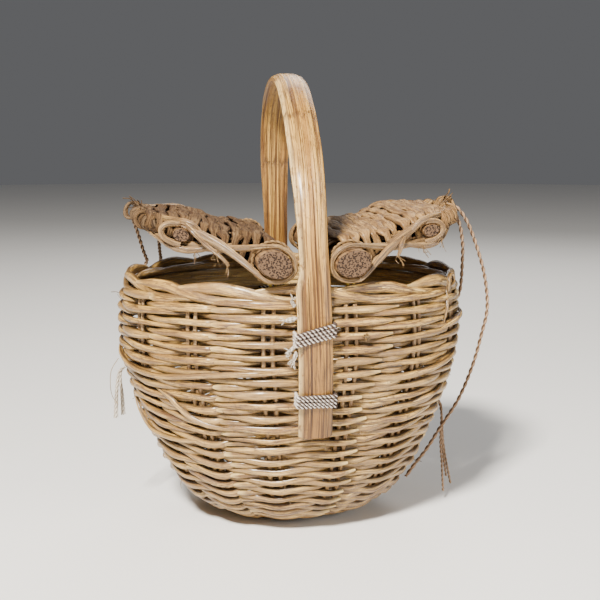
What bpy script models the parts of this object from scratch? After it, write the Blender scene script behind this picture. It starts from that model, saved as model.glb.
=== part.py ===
# Small woven basket with a strap handle and two hinged lids.
# Metres, +Z up. The origin is on the ground under the middle of the base,
# +X runs to the right lid and +Y to the back.

from math import cos, hypot, pi, radians, sin, sqrt

import bmesh
import bpy
from mathutils import Vector

mm = 0.001
clearance = 0.3 * mm
overrun = 3.0 * mm
smallest_gap = 0.4 * mm
smooth_angle_limit = radians(40)
slope_span = 0.5

# Woven body: (share of the half width and half depth, share of the height), from the foot up
body_half_width = 54.3 * mm
body_half_depth = 45.0 * mm
wall_height = 74.0 * mm
wall_thickness = 4.6 * mm
outer_skin = 1.4 * mm
profile_shares = (
    (0.324, 0.0), (0.442, 0.027), (0.558, 0.068), (0.657, 0.135), (0.755, 0.243),
    (0.838, 0.378), (0.923, 0.541), (0.986, 0.703), (1.0, 0.851), (0.983, 1.0),
)
rim_station = len(profile_shares) - 1
seam_station = 1

# Relief of the weave: rows that go out over one pair of stakes and in behind the next
weave_row_pitch = 2.15 * mm
weave_relief = 1.7 * mm
least_skin = 0.55 * mm
columns_per_pair = 3

# Stakes: rods that stand in pairs inside the wall
stake_pair_count = 14
stake_diameter = 1.3 * mm
stake_spacing = 1.9 * mm
stake_bend_steps = 3
stake_foot_share = 0.15

# Rim border
border_width = 4.8 * mm
border_height = 3.1 * mm
border_setback = 0.3 * mm
border_sections = 42
border_sides = 8

# Handle strip
handle_width = 9.6 * mm
handle_thickness = 2.6 * mm
handle_height = 137.9 * mm
handle_foot_height = 35.2 * mm
waist_half_height = 9.0 * mm
crown_shares = (
    (-1.0, -1.0), (1.0, -1.0), (1.0, 0.2), (0.6, 0.82), (0.0, 1.0), (-0.6, 0.82), (-1.0, 0.2),
)
arch_shares = (
    (-1.0, 0.0), (-0.992, 0.08), (-0.965, 0.18), (-0.90, 0.36), (-0.78, 0.56), (-0.60, 0.72),
    (-0.38, 0.847), (-0.12, 0.940), (0.16, 0.994), (0.40, 0.994), (0.67, 0.940), (0.87, 0.83),
    (0.97, 0.66), (1.0, 0.45), (1.0, 0.25), (1.0, 0.0),
)
arch_steps = 3

# Thread lashings: height of the middle and number of turns
thread_diameter = 1.1 * mm
thread_pitch = 1.6 * mm
upper_lashing_height = 65.2 * mm
upper_lashing_turns = 3
upper_lashing_tilt = 1.0 * mm
lower_lashing_height = 46.0 * mm
lower_lashing_turns = 2
lower_lashing_tilt = 0.0
lashing_side_shares = (0.33, 0.67)
lashing_face_shares = (0.5, 0.0, -0.5)

# Lids, in their own frame: outwards from the bar's axis, along the bar, and up from the lid
bar_overhang = 1.0 * mm
bar_half_width = 5.0 * mm
bar_half_height = 3.8 * mm
bar_sides = 20
left_bar_offset = 10.2 * mm
rod_offset = 26.0 * mm
rod_setback = 12.0 * mm
rod_overhang = 4.4 * mm
rod_half_width = 2.4 * mm
rod_half_height = 1.75 * mm
rod_sides = 14
lid_reach = 39.0 * mm
lid_side_margin = 6.6 * mm
lid_half_depth_at_tip = 5.0 * mm
lid_web_thickness = 4.4 * mm
lid_edge_thickness = 2.4 * mm
lid_strip_thickness = 0.9 * mm
web_share = 0.5
lid_rib_count = 13
lid_relief = 1.2 * mm
lid_inner_shares = (0.0, 0.12, 0.24, 0.36, 0.5, 0.64, 0.78, 0.9, 1.0)
lid_outer_shares = (0.2, 0.4, 0.6, 0.78, 0.9, 1.0)
sleeve_turns = tuple(radians(turn) for turn in (20, 40, 60, 78))
left_lid_angle = radians(16.5)
right_lid_angle = radians(17.5)

# Edge bindings: one strand in a figure of eight round the bar and the rod
binding_diameter = 1.2 * mm
binding_pitch = 3.3 * mm
binding_end_margin = 0.8 * mm
binding_wrap_angle = radians(120)
binding_wrap_steps = 9
binding_line_steps = 3
binding_visit_shares = (0.0, 0.5, 1.0)
binding_drift_share = 0.3

# Loop at each lid's tip
tip_loop_diameter = 1.6 * mm
tip_loop_shares = (
    (0.0, -0.62), (0.35, -0.9), (0.8, -0.72), (1.0, 0.0), (0.8, 0.72), (0.35, 0.9), (0.0, 0.62),
)
tip_loop_gap = 0.46 * mm
tip_loop_steps = 3
tip_loop_reach = 3.4 * mm
tip_loop_half_width = 2.6 * mm
tip_loop_lift = 1.2 * mm

# Hinge ties: one loop of thread round the bar, seated in the border
tie_diameter = 1.0 * mm
tie_neck_half_gap = 0.8 * mm
tie_gap_to_binding = 0.35 * mm
tie_seat_depth = 1.7 * mm
tie_steps = 16
tie_opening_angle = radians(22)
tie_neck_share = 0.2

# Cords: (x, y, z) points of each route, in millimetres
cord_diameter = 1.2 * mm
tail_diameter = 0.8 * mm
cord_spacing_share = 2.6
cord_curve_steps = 12
winding_bevel = 1
cord_bevel = 2
right_free_route = (
    (52.8, 0.0, 96.7), (55.0, 0.0, 94.9), (57.6, 0.0, 90.8), (60.2, 0.0, 84.6), (62.6, -1.0, 76.4),
    (64.0, -1.0, 69.0), (63.9, -2.0, 62.5), (62.5, -2.0, 56.0), (59.4, -3.0, 45.6), (54.6, -4.0, 34.6),
    (48.4, -5.0, 25.5), (43.6, -6.0, 18.6), (40.0, -6.0, 14.0), (36.5, -7.0, 9.9),
)
right_tie_route = (
    (52.4, 2.2, 96.3), (53.8, 2.8, 94.4), (55.8, 3.3, 90.2), (57.0, 3.8, 84.0), (57.1, 4.0, 78.0),
    (56.9, 4.0, 72.6), (56.6, 4.0, 69.4), (56.0, 4.0, 67.2), (54.7, 4.0, 66.0),
)
right_tail_routes = (
    (
        (48.2, -1.7, 33.0), (49.3, -1.9, 31.6), (49.4, -2.2, 27.0),
        (49.1, -2.6, 20.0), (49.6, -3.0, 13.0), (50.2, -3.2, 3.2),
    ),
    (
        (48.3, 0.0, 33.4), (49.7, 0.1, 31.8), (50.2, 0.2, 27.0),
        (50.4, 0.2, 20.0), (51.2, 0.3, 13.0), (52.2, 0.4, 7.0),
    ),
    (
        (48.2, 1.7, 33.0), (49.8, 2.0, 31.4), (50.9, 2.2, 26.0),
        (51.4, 2.4, 19.0), (52.6, 2.6, 12.0), (54.4, 2.8, 3.6),
    ),
)
left_cord_routes = (
    (
        (-49.3, 3.6, 94.9), (-48.7, 5.4, 92.8), (-47.4, 10.0, 88.0), (-46.0, 15.0, 82.4),
        (-45.0, 19.2, 79.1), (-44.9, 22.6, 78.1), (-45.8, 25.0, 75.8), (-46.8, 25.8, 72.4),
        (-47.2, 25.6, 69.6), (-47.1, 24.9, 67.6), (-46.4, 24.3, 67.0),
    ),
    (
        (-41.2, 6.0, 90.1), (-41.1, 8.2, 88.0), (-40.9, 13.6, 84.9), (-40.6, 20.0, 80.9),
        (-40.3, 24.4, 78.8), (-40.3, 27.5, 78.3), (-40.9, 30.0, 76.0), (-41.9, 31.1, 72.4),
        (-42.3, 30.8, 69.6), (-42.2, 30.4, 67.7), (-41.6, 29.75, 67.0),
    ),
)
left_tail_routes = (
    ((-52.8, 1.0, 47.0), (-54.2, 0.8, 45.6), (-54.9, 0.4, 42.0), (-55.3, 0.0, 37.0), (-55.6, -0.2, 31.2)),
    ((-52.5, 3.6, 46.6), (-53.8, 3.7, 45.2), (-54.0, 3.8, 42.0), (-53.6, 4.0, 37.0), (-53.4, 4.2, 31.0)),
)

# Colour and roughness of each material
straw = ((0.60, 0.41, 0.22), 0.6)
pale_cane = ((0.66, 0.47, 0.27), 0.5)
bar_cane = ((0.40, 0.26, 0.15), 0.7)
lid_straw = ((0.42, 0.29, 0.17), 0.65)
white_thread = ((0.55, 0.53, 0.50), 0.8)
yellow_thread = ((0.66, 0.50, 0.16), 0.8)
brown_cord = ((0.34, 0.24, 0.16), 0.85)

border_crest = wall_height + clearance + border_height
binding_reach = bar_half_width + clearance + binding_diameter
hinge_height = border_crest + clearance + binding_reach
right_bar_offset = handle_width / 2 + clearance + binding_reach
bar_half_length = body_half_depth + bar_overhang
rod_half_length = bar_half_length - rod_setback
lid_half_depth_at_rod = rod_half_length - rod_overhang
waist_depth = max(0.0, handle_width / 2 - left_bar_offset + binding_reach + clearance)
sleeve_half_width = bar_half_width + clearance + lid_strip_thickness
sleeve_half_height = bar_half_height + clearance + lid_strip_thickness
rod_sleeve_half_height = rod_half_height + clearance + lid_strip_thickness


# Scene and materials

def clear_scene():
    for item in list(bpy.data.objects):
        bpy.data.objects.remove(item, do_unlink=True)


def make_material(name, look):
    colour, roughness = look
    material = bpy.data.materials.new(name)
    material.use_nodes = True
    shader = material.node_tree.nodes["Principled BSDF"]
    shader.inputs["Base Color"].default_value = (*colour, 1.0)
    shader.inputs["Roughness"].default_value = roughness
    shader.inputs["Metallic"].default_value = 0.0
    return material


# Mesh and curve helpers

def add_object(name, data, material, parent=None):
    data.materials.append(material)
    item = bpy.data.objects.new(name, data)
    bpy.context.scene.collection.objects.link(item)
    item.parent = parent
    return item


def make_mesh(name, points, faces):
    mesh = bpy.data.meshes.new(name)
    form = bmesh.new()
    corners = [form.verts.new(point) for point in points]
    for face in faces:
        form.faces.new([corners[index] for index in face])
    bmesh.ops.recalc_face_normals(form, faces=form.faces)
    form.to_mesh(mesh)
    form.free()
    return mesh


def mesh_object(name, points, faces, material, parent=None):
    mesh = make_mesh(name, points, faces)
    mesh.shade_smooth()
    mesh.set_sharp_from_angle(angle=smooth_angle_limit)
    return add_object(name, mesh, material, parent)


def tube_object(name, points, diameter, material, parent=None, bevel_resolution=winding_bevel):
    curve = bpy.data.curves.new(name, "CURVE")
    curve.dimensions = "3D"
    curve.bevel_depth = diameter / 2
    curve.bevel_resolution = bevel_resolution
    curve.use_fill_caps = True
    spline = curve.splines.new("POLY")
    spline.points.add(len(points) - 1)
    for spot, point in zip(spline.points, points):
        spot.co = (*point, 1.0)
    spline.use_smooth = True
    return add_object(name, curve, material, parent)


def loft_faces(section_count, side_count, closed_path=False):
    faces = []
    spans = section_count if closed_path else section_count - 1
    for row in range(spans):
        low = row * side_count
        high = (row + 1) % section_count * side_count
        for side in range(side_count):
            after = (side + 1) % side_count
            faces.append((low + side, low + after, high + after, high + side))
    if not closed_path:
        faces.append(tuple(range(side_count)))
        faces.append(tuple(range((section_count - 1) * side_count, section_count * side_count)))
    return faces


def add_cutter(name, points, faces, target, parent=None):
    cutter = bpy.data.objects.new(name, make_mesh(name, points, faces))
    bpy.context.scene.collection.objects.link(cutter)
    cutter.parent = parent
    cutter.hide_render = True
    cutter.display_type = "WIRE"
    cut = target.modifiers.new(name, "BOOLEAN")
    cut.operation = "DIFFERENCE"
    cut.solver = "EXACT"
    cut.object = cutter


def box_points(low, high):
    corners = ((0, 0), (1, 0), (1, 1), (0, 1))
    return [(low[0] if i == 0 else high[0], low[1] if j == 0 else high[1], level)
            for level in (low[2], high[2]) for i, j in corners]


def catmull_point(before, start, end, after, share):
    square = share * share
    cube = square * share
    return (start * 2 + (end - before) * share + (before * 2 - start * 5 + end * 4 - after) * square
            + (start * 3 - before - end * 3 + after) * cube) / 2


def smooth_path(points, steps):
    path = []
    for index in range(len(points) - 1):
        before = points[max(index - 1, 0)]
        after = points[min(index + 2, len(points) - 1)]
        for step in range(steps):
            path.append(catmull_point(before, points[index], points[index + 1], after, step / steps))
    path.append(points[-1])
    return path


def even_path(points, spacing):
    lengths = [0.0]
    for start, end in zip(points, points[1:]):
        lengths.append(lengths[-1] + (end - start).length)
    count = max(2, round(lengths[-1] / spacing))
    path = []
    index = 0
    for step in range(count + 1):
        distance = lengths[-1] * step / count
        while index < len(points) - 2 and lengths[index + 1] < distance:
            index += 1
        span = lengths[index + 1] - lengths[index]
        path.append(points[index].lerp(points[index + 1], (distance - lengths[index]) / span))
    return path


def report_least_gap(name, points, diameter):
    near = pi * diameter
    lengths = [0.0]
    for start, end in zip(points, points[1:]):
        lengths.append(lengths[-1] + (end - start).length)
    least = None
    for first, start in enumerate(points):
        for second in range(first + 1, len(points)):
            if lengths[second] - lengths[first] > near:
                gap = (points[second] - start).length - diameter
                least = gap if least is None else min(least, gap)
    print(f"{name}: least gap to itself {least / mm:.2f} mm, over {smallest_gap / mm:.1f} mm")


# The body's shape

def profile_at(station):
    station = min(max(station, 0.0), rim_station)
    index = min(int(station), rim_station - 1)
    share = station - index
    low, high = profile_shares[index], profile_shares[index + 1]
    return tuple(a + (b - a) * share for a, b in zip(low, high))


def station_at(height):
    for index, (low, high) in enumerate(zip(profile_shares, profile_shares[1:])):
        if height <= high[1] * wall_height:
            return index + (height / wall_height - low[1]) / (high[1] - low[1])
    return float(rim_station)


def body_point(angle, station):
    width, height = profile_at(station)
    across = body_half_width * width * sin(angle)
    return Vector((across, -body_half_depth * width * cos(angle), wall_height * height))


def inward_normal(angle, station):
    width, _ = profile_at(station)
    around = Vector((body_half_width * width * cos(angle), body_half_depth * width * sin(angle), 0.0))
    upward = body_point(angle, station + slope_span) - body_point(angle, station - slope_span)
    return -around.cross(upward).normalized()


def wall_point(angle, station, inset):
    return body_point(angle, station) + inward_normal(angle, station) * inset


def around_speed(angle, station):
    width, _ = profile_at(station)
    return hypot(body_half_width * width * cos(angle), body_half_depth * width * sin(angle))


def front_distance(height, offset):
    # How far out a surface lies that keeps this offset outside the wall, at the handle's legs
    station = station_at(height)
    below = int(min(station, rim_station - 1))
    low = body_point(0.0, below)
    high = body_point(0.0, below + 1)
    slope = (high.y - low.y) / (high.z - low.z)
    return -body_point(0.0, station).y + offset * sqrt(1 + slope * slope)


groove_depth_line = outer_skin + clearance + stake_diameter / 2
groove_half_width = stake_spacing / 2 + stake_diameter / 2 + clearance
pair_step = 2 * pi / stake_pair_count
pair_angles = [(index + 0.5) * pair_step for index in range(stake_pair_count)]


def column_angles(station):
    # Four angles for each pair: both sides of its groove and two between it and the next
    angles = []
    for angle in pair_angles:
        half = groove_half_width / around_speed(angle, station)
        rest = pair_step - 2 * half
        angles += [angle - half, angle + half, angle + half + rest / 3, angle + half + rest * 2 / 3]
    return angles


# Base and wall

def make_base(material):
    count = stake_pair_count * columns_per_pair
    angles = [pair_angles[0] + 2 * pi * column / count for column in range(count)]
    points = [Vector((0.0, 0.0, 0.0)), Vector((0.0, 0.0, wall_thickness))]
    rings = []
    for inset in (0.0, wall_thickness):
        for station in (0, seam_station):
            rings.append(len(points))
            for angle in angles:
                spot = float(station)
                if station == seam_station:
                    length = (body_point(angle, seam_station) - body_point(angle, 0)).length
                    spot -= clearance / length
                point = body_point(angle, spot) + inward_normal(angle, station) * inset
                points.append(point)
    faces = []
    low_inner, low_outer, high_inner, high_outer = rings
    for index in range(count):
        after = (index + 1) % count
        faces.append((0, low_inner + index, low_inner + after))
        faces.append((1, high_inner + index, high_inner + after))
        for first, second in ((low_inner, low_outer), (low_outer, high_outer), (high_outer, high_inner)):
            faces.append((first + index, first + after, second + after, second + index))
    return mesh_object("base_weave", points, faces, material)


def row_stations():
    # Stations one row apart along the wall, from the seam to the rim
    radius = (body_half_width + body_half_depth) / 2
    lengths = [0.0]
    for low, high in zip(profile_shares[seam_station:], profile_shares[seam_station + 1:]):
        lengths.append(lengths[-1] + hypot((high[0] - low[0]) * radius, (high[1] - low[1]) * wall_height))
    count = round(lengths[-1] / weave_row_pitch)
    stations = []
    index = 0
    for row in range(count + 1):
        distance = lengths[-1] * row / count
        while index < len(lengths) - 2 and lengths[index + 1] < distance:
            index += 1
        share = (distance - lengths[index]) / (lengths[index + 1] - lengths[index])
        stations.append(seam_station + index + share)
    return stations


def row_inset(row, pair, column, station):
    # How far in a row lies: nothing where it passes over the stakes of its pair
    follows = pair + (1 if column == columns_per_pair - 1 else 0)
    if (row + follows) % 2 == 1:
        return 0.0
    width, _ = profile_at(station)
    return width * (weave_relief if column else outer_skin - least_skin)


def ring_faces(start, rows, count):
    faces = []
    for row in range(rows - 1):
        low = start + row * count
        for index in range(count):
            after = (index + 1) % count
            faces.append((low + index, low + after, low + count + after, low + count + index))
    return faces


def make_wall(material):
    outer_stations = row_stations()
    outer_count = stake_pair_count * columns_per_pair
    last = len(outer_stations) - 1
    points = []
    for row, station in enumerate(outer_stations):
        for pair, angle in enumerate(pair_angles):
            for column in range(columns_per_pair):
                inset = row_inset(row, pair, column, station) if 0 < row < last else 0.0
                points.append(wall_point(angle + pair_step * column / columns_per_pair, station, inset))
    inner_stations = range(seam_station, rim_station + 1)
    inner_columns = (
        (0, wall_thickness), (0, outer_skin), (1, outer_skin), (1, wall_thickness),
        (2, wall_thickness), (3, wall_thickness),
    )
    inner_count = stake_pair_count * len(inner_columns)
    inner_start = len(points)
    for station in inner_stations:
        angles = column_angles(station)
        for pair in range(stake_pair_count):
            for column, inset in inner_columns:
                points.append(wall_point(angles[pair * 4 + column], station, inset))
    faces = ring_faces(0, len(outer_stations), outer_count)
    faces += ring_faces(inner_start, len(inner_stations), inner_count)
    for outer, inner in ((0, inner_start), (last * outer_count, len(points) - inner_count)):
        for pair in range(stake_pair_count):
            middle, first, second = (outer + pair * columns_per_pair + column for column in range(3))
            left_floor, right_floor, right_edge, near, far = (
                inner + pair * len(inner_columns) + column for column in range(1, 6)
            )
            next_middle = outer + (pair + 1) % stake_pair_count * columns_per_pair
            next_edge = inner + (pair + 1) % stake_pair_count * len(inner_columns)
            faces += [
                (middle, right_floor, left_floor),
                (middle, first, right_floor),
                (first, right_edge, right_floor),
                (first, near, right_edge),
                (first, second, far, near),
                (second, next_edge, far),
                (second, next_edge + 1, next_edge),
                (second, next_middle, next_edge + 1),
            ]
    return mesh_object("wall_weave", points, faces, material)


def make_stakes(material):
    depth = groove_depth_line
    half = stake_spacing / 2
    top = wall_height - clearance - stake_diameter / 2
    bend_station = station_at(top - half)
    stations = [seam_station + stake_foot_share]
    stations += list(range(seam_station + 1, rim_station)) + [bend_station]
    for number, angle in enumerate(pair_angles, start=1):
        def leg_point(station, side):
            shift = side * half / around_speed(angle, station)
            return wall_point(angle + shift, station, depth)
        left = [leg_point(station, -1) for station in stations]
        right = [leg_point(station, 1) for station in stations]
        middle = (left[-1] + right[-1]) / 2
        across = right[-1] - middle
        bend = []
        for step in range(1, stake_bend_steps):
            turn = pi * step / stake_bend_steps
            bend.append(middle - across * cos(turn) + Vector((0.0, 0.0, across.length * sin(turn))))
        tube_object(f"stake_pair_{number:02d}", left + bend + right[::-1], stake_diameter, material)


def make_border(material):
    rim = float(rim_station)
    points = []
    for section in range(border_sections):
        angle = 2 * pi * section / border_sections
        flat = inward_normal(angle, rim)
        inward = Vector((flat.x, flat.y, 0.0)).normalized()
        centre = body_point(angle, rim) + inward * (border_setback + border_width / 2)
        centre.z = wall_height + clearance + border_height / 2
        for side in range(border_sides):
            turn = 2 * pi * (side + 0.5) / border_sides
            lift = Vector((0.0, 0.0, border_height / 2 * sin(turn)))
            points.append(centre + inward * border_width / 2 * cos(turn) + lift)
    return mesh_object("rim_border", points, loft_faces(border_sections, border_sides, True), material)


# Handle and its lashings

def handle_path():
    offset = clearance + handle_thickness / 2
    foot = station_at(handle_foot_height)
    stations = [foot] + list(range(int(foot) + 1, rim_station))
    front = [body_point(0.0, station) - inward_normal(0.0, station) * offset for station in stations]
    span = front_distance(wall_height, offset)
    rise = handle_height - handle_thickness / 2 - wall_height
    arch = [Vector((0.0, span * along, wall_height + rise * up)) for along, up in arch_shares]
    back = [Vector((0.0, -point.y, point.z)) for point in reversed(front)]
    return front + smooth_path(arch, arch_steps) + back


def waist_at(height):
    distance = abs(height - hinge_height) / waist_half_height
    return waist_depth * (1 + cos(pi * min(distance, 1.0))) / 2


def make_handle(material):
    path = handle_path()
    points = []
    for index, centre in enumerate(path):
        along = (path[min(index + 1, len(path) - 1)] - path[max(index - 1, 0)]).normalized()
        outward = Vector((0.0, -along.z, along.y))
        waist = waist_at(centre.z)
        for across, out in crown_shares:
            half = handle_width / 2 - (waist if across < 0 else 0.0)
            points.append(centre + Vector((across * half, 0.0, 0.0)) + outward * out * handle_thickness / 2)
    return mesh_object("handle_strip", points, loft_faces(len(path), len(crown_shares)), material)


def lashing_loop(side, height, turns, tilt):
    # One unbroken strand round the leg and the wall behind it, through a slot on each side
    gap = clearance + thread_diameter / 2
    half = handle_width / 2
    path = []
    lowest = height - thread_pitch * turns / 2
    for turn in range(turns):
        level = lowest + thread_pitch * turn
        outside = front_distance(level, clearance + handle_thickness)
        inside = front_distance(level, -wall_thickness)
        corners = ((half, inside, 0), (half, outside, 1), (-half, outside, 2), (-half, inside, 3))
        ring = []
        for across, distance, quarter in corners:
            for step in range(3):
                bend = pi / 2 * (quarter - 1 + step / 2)
                ring.append((across + gap * cos(bend), distance + gap * sin(bend)))
            if quarter == 0:
                ring += [(half + gap, inside + (outside - inside) * share) for share in lashing_side_shares]
            elif quarter == 1:
                ring += [(half * share, outside + gap) for share in lashing_face_shares]
            elif quarter == 2:
                ring += [(-half - gap, outside + (inside - outside) * share) for share in lashing_side_shares]
            else:
                ring += [(-half * share, inside - gap) for share in lashing_face_shares]
        for index, (across, distance) in enumerate(ring):
            share = index / len(ring)
            lift = thread_pitch * share + tilt / 2 * across / half
            path.append(Vector((across, side * distance, level + lift)))
    return path


def make_lashing(name, side, height, turns, tilt, material):
    path = lashing_loop(side, height, turns, tilt)
    report_least_gap(name, path, thread_diameter)
    tube_object(name, path, thread_diameter, material)


def slot_boxes(side, height, turns, tilt):
    room = clearance + thread_diameter / 2
    half = handle_width / 2
    reach = thread_pitch * turns / 2 + room
    near = front_distance(height, -wall_thickness) - overrun
    far = front_distance(height, 0.0) + overrun
    boxes = []
    for edge in (-1, 1):
        centre = edge * (half + room)
        level = height + edge * tilt / 2
        low = (centre - room, min(side * near, side * far), level - reach)
        high = (centre + room, max(side * near, side * far), level + reach)
        boxes.append(box_points(low, high))
    return boxes


def make_lashings(wall, material):
    # All the slots are one cutter, so that the wall is cut once
    points = []
    faces = []
    for label, side in (("front", -1), ("rear", 1)):
        for level, plan in (
            ("upper", (side, upper_lashing_height, upper_lashing_turns, upper_lashing_tilt)),
            ("lower", (side, lower_lashing_height, lower_lashing_turns, lower_lashing_tilt)),
        ):
            make_lashing(f"{label}_{level}_lashing", *plan, material)
            for box in slot_boxes(*plan):
                faces += [tuple(len(points) + corner for corner in face) for face in loft_faces(2, 4)]
                points += box
    add_cutter("lashing_slots", points, faces, wall)


# Lids

def ellipse_points(centre, half_width, half_height, sides, along):
    turns = [2 * pi * side / sides for side in range(sides)]
    return [(centre + half_width * cos(turn), along, half_height * sin(turn)) for turn in turns]


def rod_points(centre, half_width, half_height, sides, half_length):
    return (ellipse_points(centre, half_width, half_height, sides, -half_length)
            + ellipse_points(centre, half_width, half_height, sides, half_length))


def make_rod(name, centre, half_width, half_height, sides, half_length, material, parent):
    points = rod_points(centre, half_width, half_height, sides, half_length)
    return mesh_object(name, points, loft_faces(2, sides), material, parent)


def blend_between(start, end, share):
    return start + (end - start) * (1 - cos(pi * share)) / 2


def lid_half_thickness(outward):
    web_place = rod_offset * web_share
    web_half = lid_web_thickness / 2
    if outward < web_place:
        return blend_between(sleeve_half_height, web_half, max(outward, 0.0) / web_place)
    if outward < rod_offset:
        share = (outward - web_place) / (rod_offset - web_place)
        return blend_between(web_half, rod_sleeve_half_height, share)
    share = (outward - rod_offset) / (lid_reach - rod_offset)
    return blend_between(rod_sleeve_half_height, lid_edge_thickness / 2, share)


def lid_half_depth(outward):
    start = bar_half_length - lid_side_margin
    if outward < rod_offset:
        return start + (lid_half_depth_at_rod - start) * max(outward, 0.0) / rod_offset
    share = (outward - rod_offset) / (lid_reach - rod_offset)
    narrowing = sqrt(max(0.0, 1 - share * share))
    return lid_half_depth_at_tip + (lid_half_depth_at_rod - lid_half_depth_at_tip) * narrowing


def lid_stations():
    # Outward places and half thicknesses, from the sleeve's inner edge to the tip
    stations = [(-sleeve_half_width * cos(turn), sleeve_half_height * sin(turn)) for turn in sleeve_turns]
    places = [rod_offset * share for share in lid_inner_shares]
    places += [rod_offset + (lid_reach - rod_offset) * share for share in lid_outer_shares]
    return stations + [(place, lid_half_thickness(place)) for place in places]


def lid_relief_at(outward, half):
    # None over the bar and the rod, whose sleeves keep their strips
    rod_sleeve = rod_half_width + clearance + lid_strip_thickness
    if outward < sleeve_half_width or abs(outward - rod_offset) < rod_sleeve:
        return 0.0
    return max(0.0, min(lid_relief, half - lid_strip_thickness))


def make_lid_weave(name, material, parent):
    # Each weaver passes over one rib and under the next
    stations = lid_stations()
    count = 2 * len(stations) + 1
    points = []
    for rib in range(lid_rib_count):
        share = 2 * rib / (lid_rib_count - 1) - 1
        section = [(-sleeve_half_width, 0.0)]
        for side, order in ((1, 0), (-1, 1)):
            skin = [(place, side * (half - (number + rib + order) % 2 * lid_relief_at(place, half)))
                    for number, (place, half) in enumerate(stations)]
            section += skin[::side]
        points += [(place, share * lid_half_depth(place), height) for place, height in section]
    faces = []
    for row in range(lid_rib_count - 1):
        low = row * count
        for index in range(count):
            after = (index + 1) % count
            faces.append((low + index, low + after, low + count + after, low + count + index))
    for row in (0, lid_rib_count - 1):
        start = row * count
        faces.append((start, start + 1, start + count - 1))
        for index in range(1, len(stations)):
            opposite = count - index
            faces.append((start + index, start + index + 1, start + opposite - 1, start + opposite))
    weave = mesh_object(name, points, faces, material, parent)
    length = bar_half_length + overrun
    bores = (
        ("bar_bore", 0.0, bar_half_width + clearance, bar_half_height + clearance, bar_sides),
        ("rod_bore", rod_offset, rod_half_width + clearance, rod_half_height + clearance, rod_sides),
    )
    for label, centre, half_width, half_height, sides in bores:
        shape = rod_points(centre, half_width, half_height, sides, length)
        add_cutter(f"{name}_{label}", shape, loft_faces(2, sides), weave, parent)
    return weave


def binding_path(side):
    # A figure of eight that moves towards the middle of the lid by one pitch
    bar_start = bar_half_length - binding_end_margin
    rod_start = rod_half_length - binding_end_margin
    grip = clearance + binding_diameter / 2
    legs = (
        (0.0, bar_half_width + grip, bar_half_height + grip, bar_start, pi, -1),
        (rod_offset, rod_half_width + grip, rod_half_height + grip, rod_start, 0.0, 1),
    )
    path = []
    for visit, visit_share in enumerate(binding_visit_shares):
        centre, half_width, half_height, start, middle, sense = legs[visit % 2]
        wrap = []
        for step in range(binding_wrap_steps + 1):
            wrap_share = step / binding_wrap_steps
            turn = middle + sense * binding_wrap_angle * (2 * wrap_share - 1)
            along = start - binding_pitch * (visit_share + (wrap_share - 0.5) * binding_drift_share)
            wrap.append(Vector((centre + half_width * cos(turn), side * along, half_height * sin(turn))))
        if path:
            crossing = [step / (binding_line_steps + 1) for step in range(1, binding_line_steps + 1)]
            path += [path[-1].lerp(wrap[0], share) for share in crossing]
        path += wrap
    return path


def make_tip_loop(name, material, parent):
    start = lid_reach + tip_loop_gap
    points = [Vector((start + tip_loop_reach * out, tip_loop_half_width * across, tip_loop_lift * out))
              for out, across in tip_loop_shares]
    tube_object(name, smooth_path(points, tip_loop_steps), tip_loop_diameter, material, parent)


def make_lid(side, axis, materials):
    make_rod(f"{side}_hinge_bar", 0.0, bar_half_width, bar_half_height, bar_sides, bar_half_length,
             materials["bar"], axis)
    make_rod(f"{side}_outer_rod", rod_offset, rod_half_width, rod_half_height, rod_sides, rod_half_length,
             materials["bar"], axis)
    make_lid_weave(f"{side}_lid_weave", materials["lid"], axis)
    front = -1 if side == "right" else 1
    for label, end in (("front", front), ("rear", -front)):
        path = binding_path(end)
        report_least_gap(f"{side}_{label}_binding", path, binding_diameter)
        tube_object(f"{side}_{label}_binding", path, binding_diameter, materials["lid"], axis)
    make_tip_loop(f"{side}_tip_loop", materials["lid"], axis)


def make_lid_axis(name, offset, angle, turned):
    axis = bpy.data.objects.new(name, None)
    bpy.context.scene.collection.objects.link(axis)
    axis.location = (offset, 0.0, hinge_height)
    axis.rotation_euler = (0.0, -angle, pi if turned else 0.0)
    return axis


# Hinge ties

def make_tie(name, offset, side, border, material):
    binding_reach_inwards = binding_end_margin + binding_pitch * (1 + binding_drift_share / 2)
    binding_inner_edge = bar_half_length - binding_reach_inwards - binding_diameter / 2
    along = binding_inner_edge - tie_gap_to_binding - tie_diameter / 2
    radius = bar_half_width + clearance + tie_diameter / 2
    seat = border_crest - tie_seat_depth
    neck = hinge_height - radius - tie_diameter * tie_neck_share
    path = [Vector((offset - tie_neck_half_gap, side * along, seat + clearance)),
            Vector((offset - tie_neck_half_gap, side * along, neck))]
    for step in range(tie_steps + 1):
        turn = -pi / 2 - tie_opening_angle - 2 * (pi - tie_opening_angle) * step / tie_steps
        path.append(Vector((offset + radius * cos(turn), side * along, hinge_height + radius * sin(turn))))
    path += [Vector((offset + tie_neck_half_gap, side * along, neck)),
             Vector((offset + tie_neck_half_gap, side * along, seat + clearance))]
    report_least_gap(name, path, tie_diameter)
    tube_object(name, path, tie_diameter, material)
    room = tie_diameter / 2 + clearance
    low = (offset - tie_neck_half_gap - room, side * along - room, seat)
    high = (offset + tie_neck_half_gap + room, side * along + room, border_crest + overrun)
    add_cutter(f"{name}_seat", box_points(low, high), loft_faces(2, 4), border)


# Cords

def make_cord(name, route, diameter, material):
    points = smooth_path([Vector(point) * mm for point in route], cord_curve_steps)
    path = even_path(points, diameter * cord_spacing_share)
    length = sum((end - start).length for start, end in zip(path, path[1:]))
    print(f"{name}: length {length / mm:.1f} mm")
    tube_object(name, path, diameter, material, bevel_resolution=cord_bevel)


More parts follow.
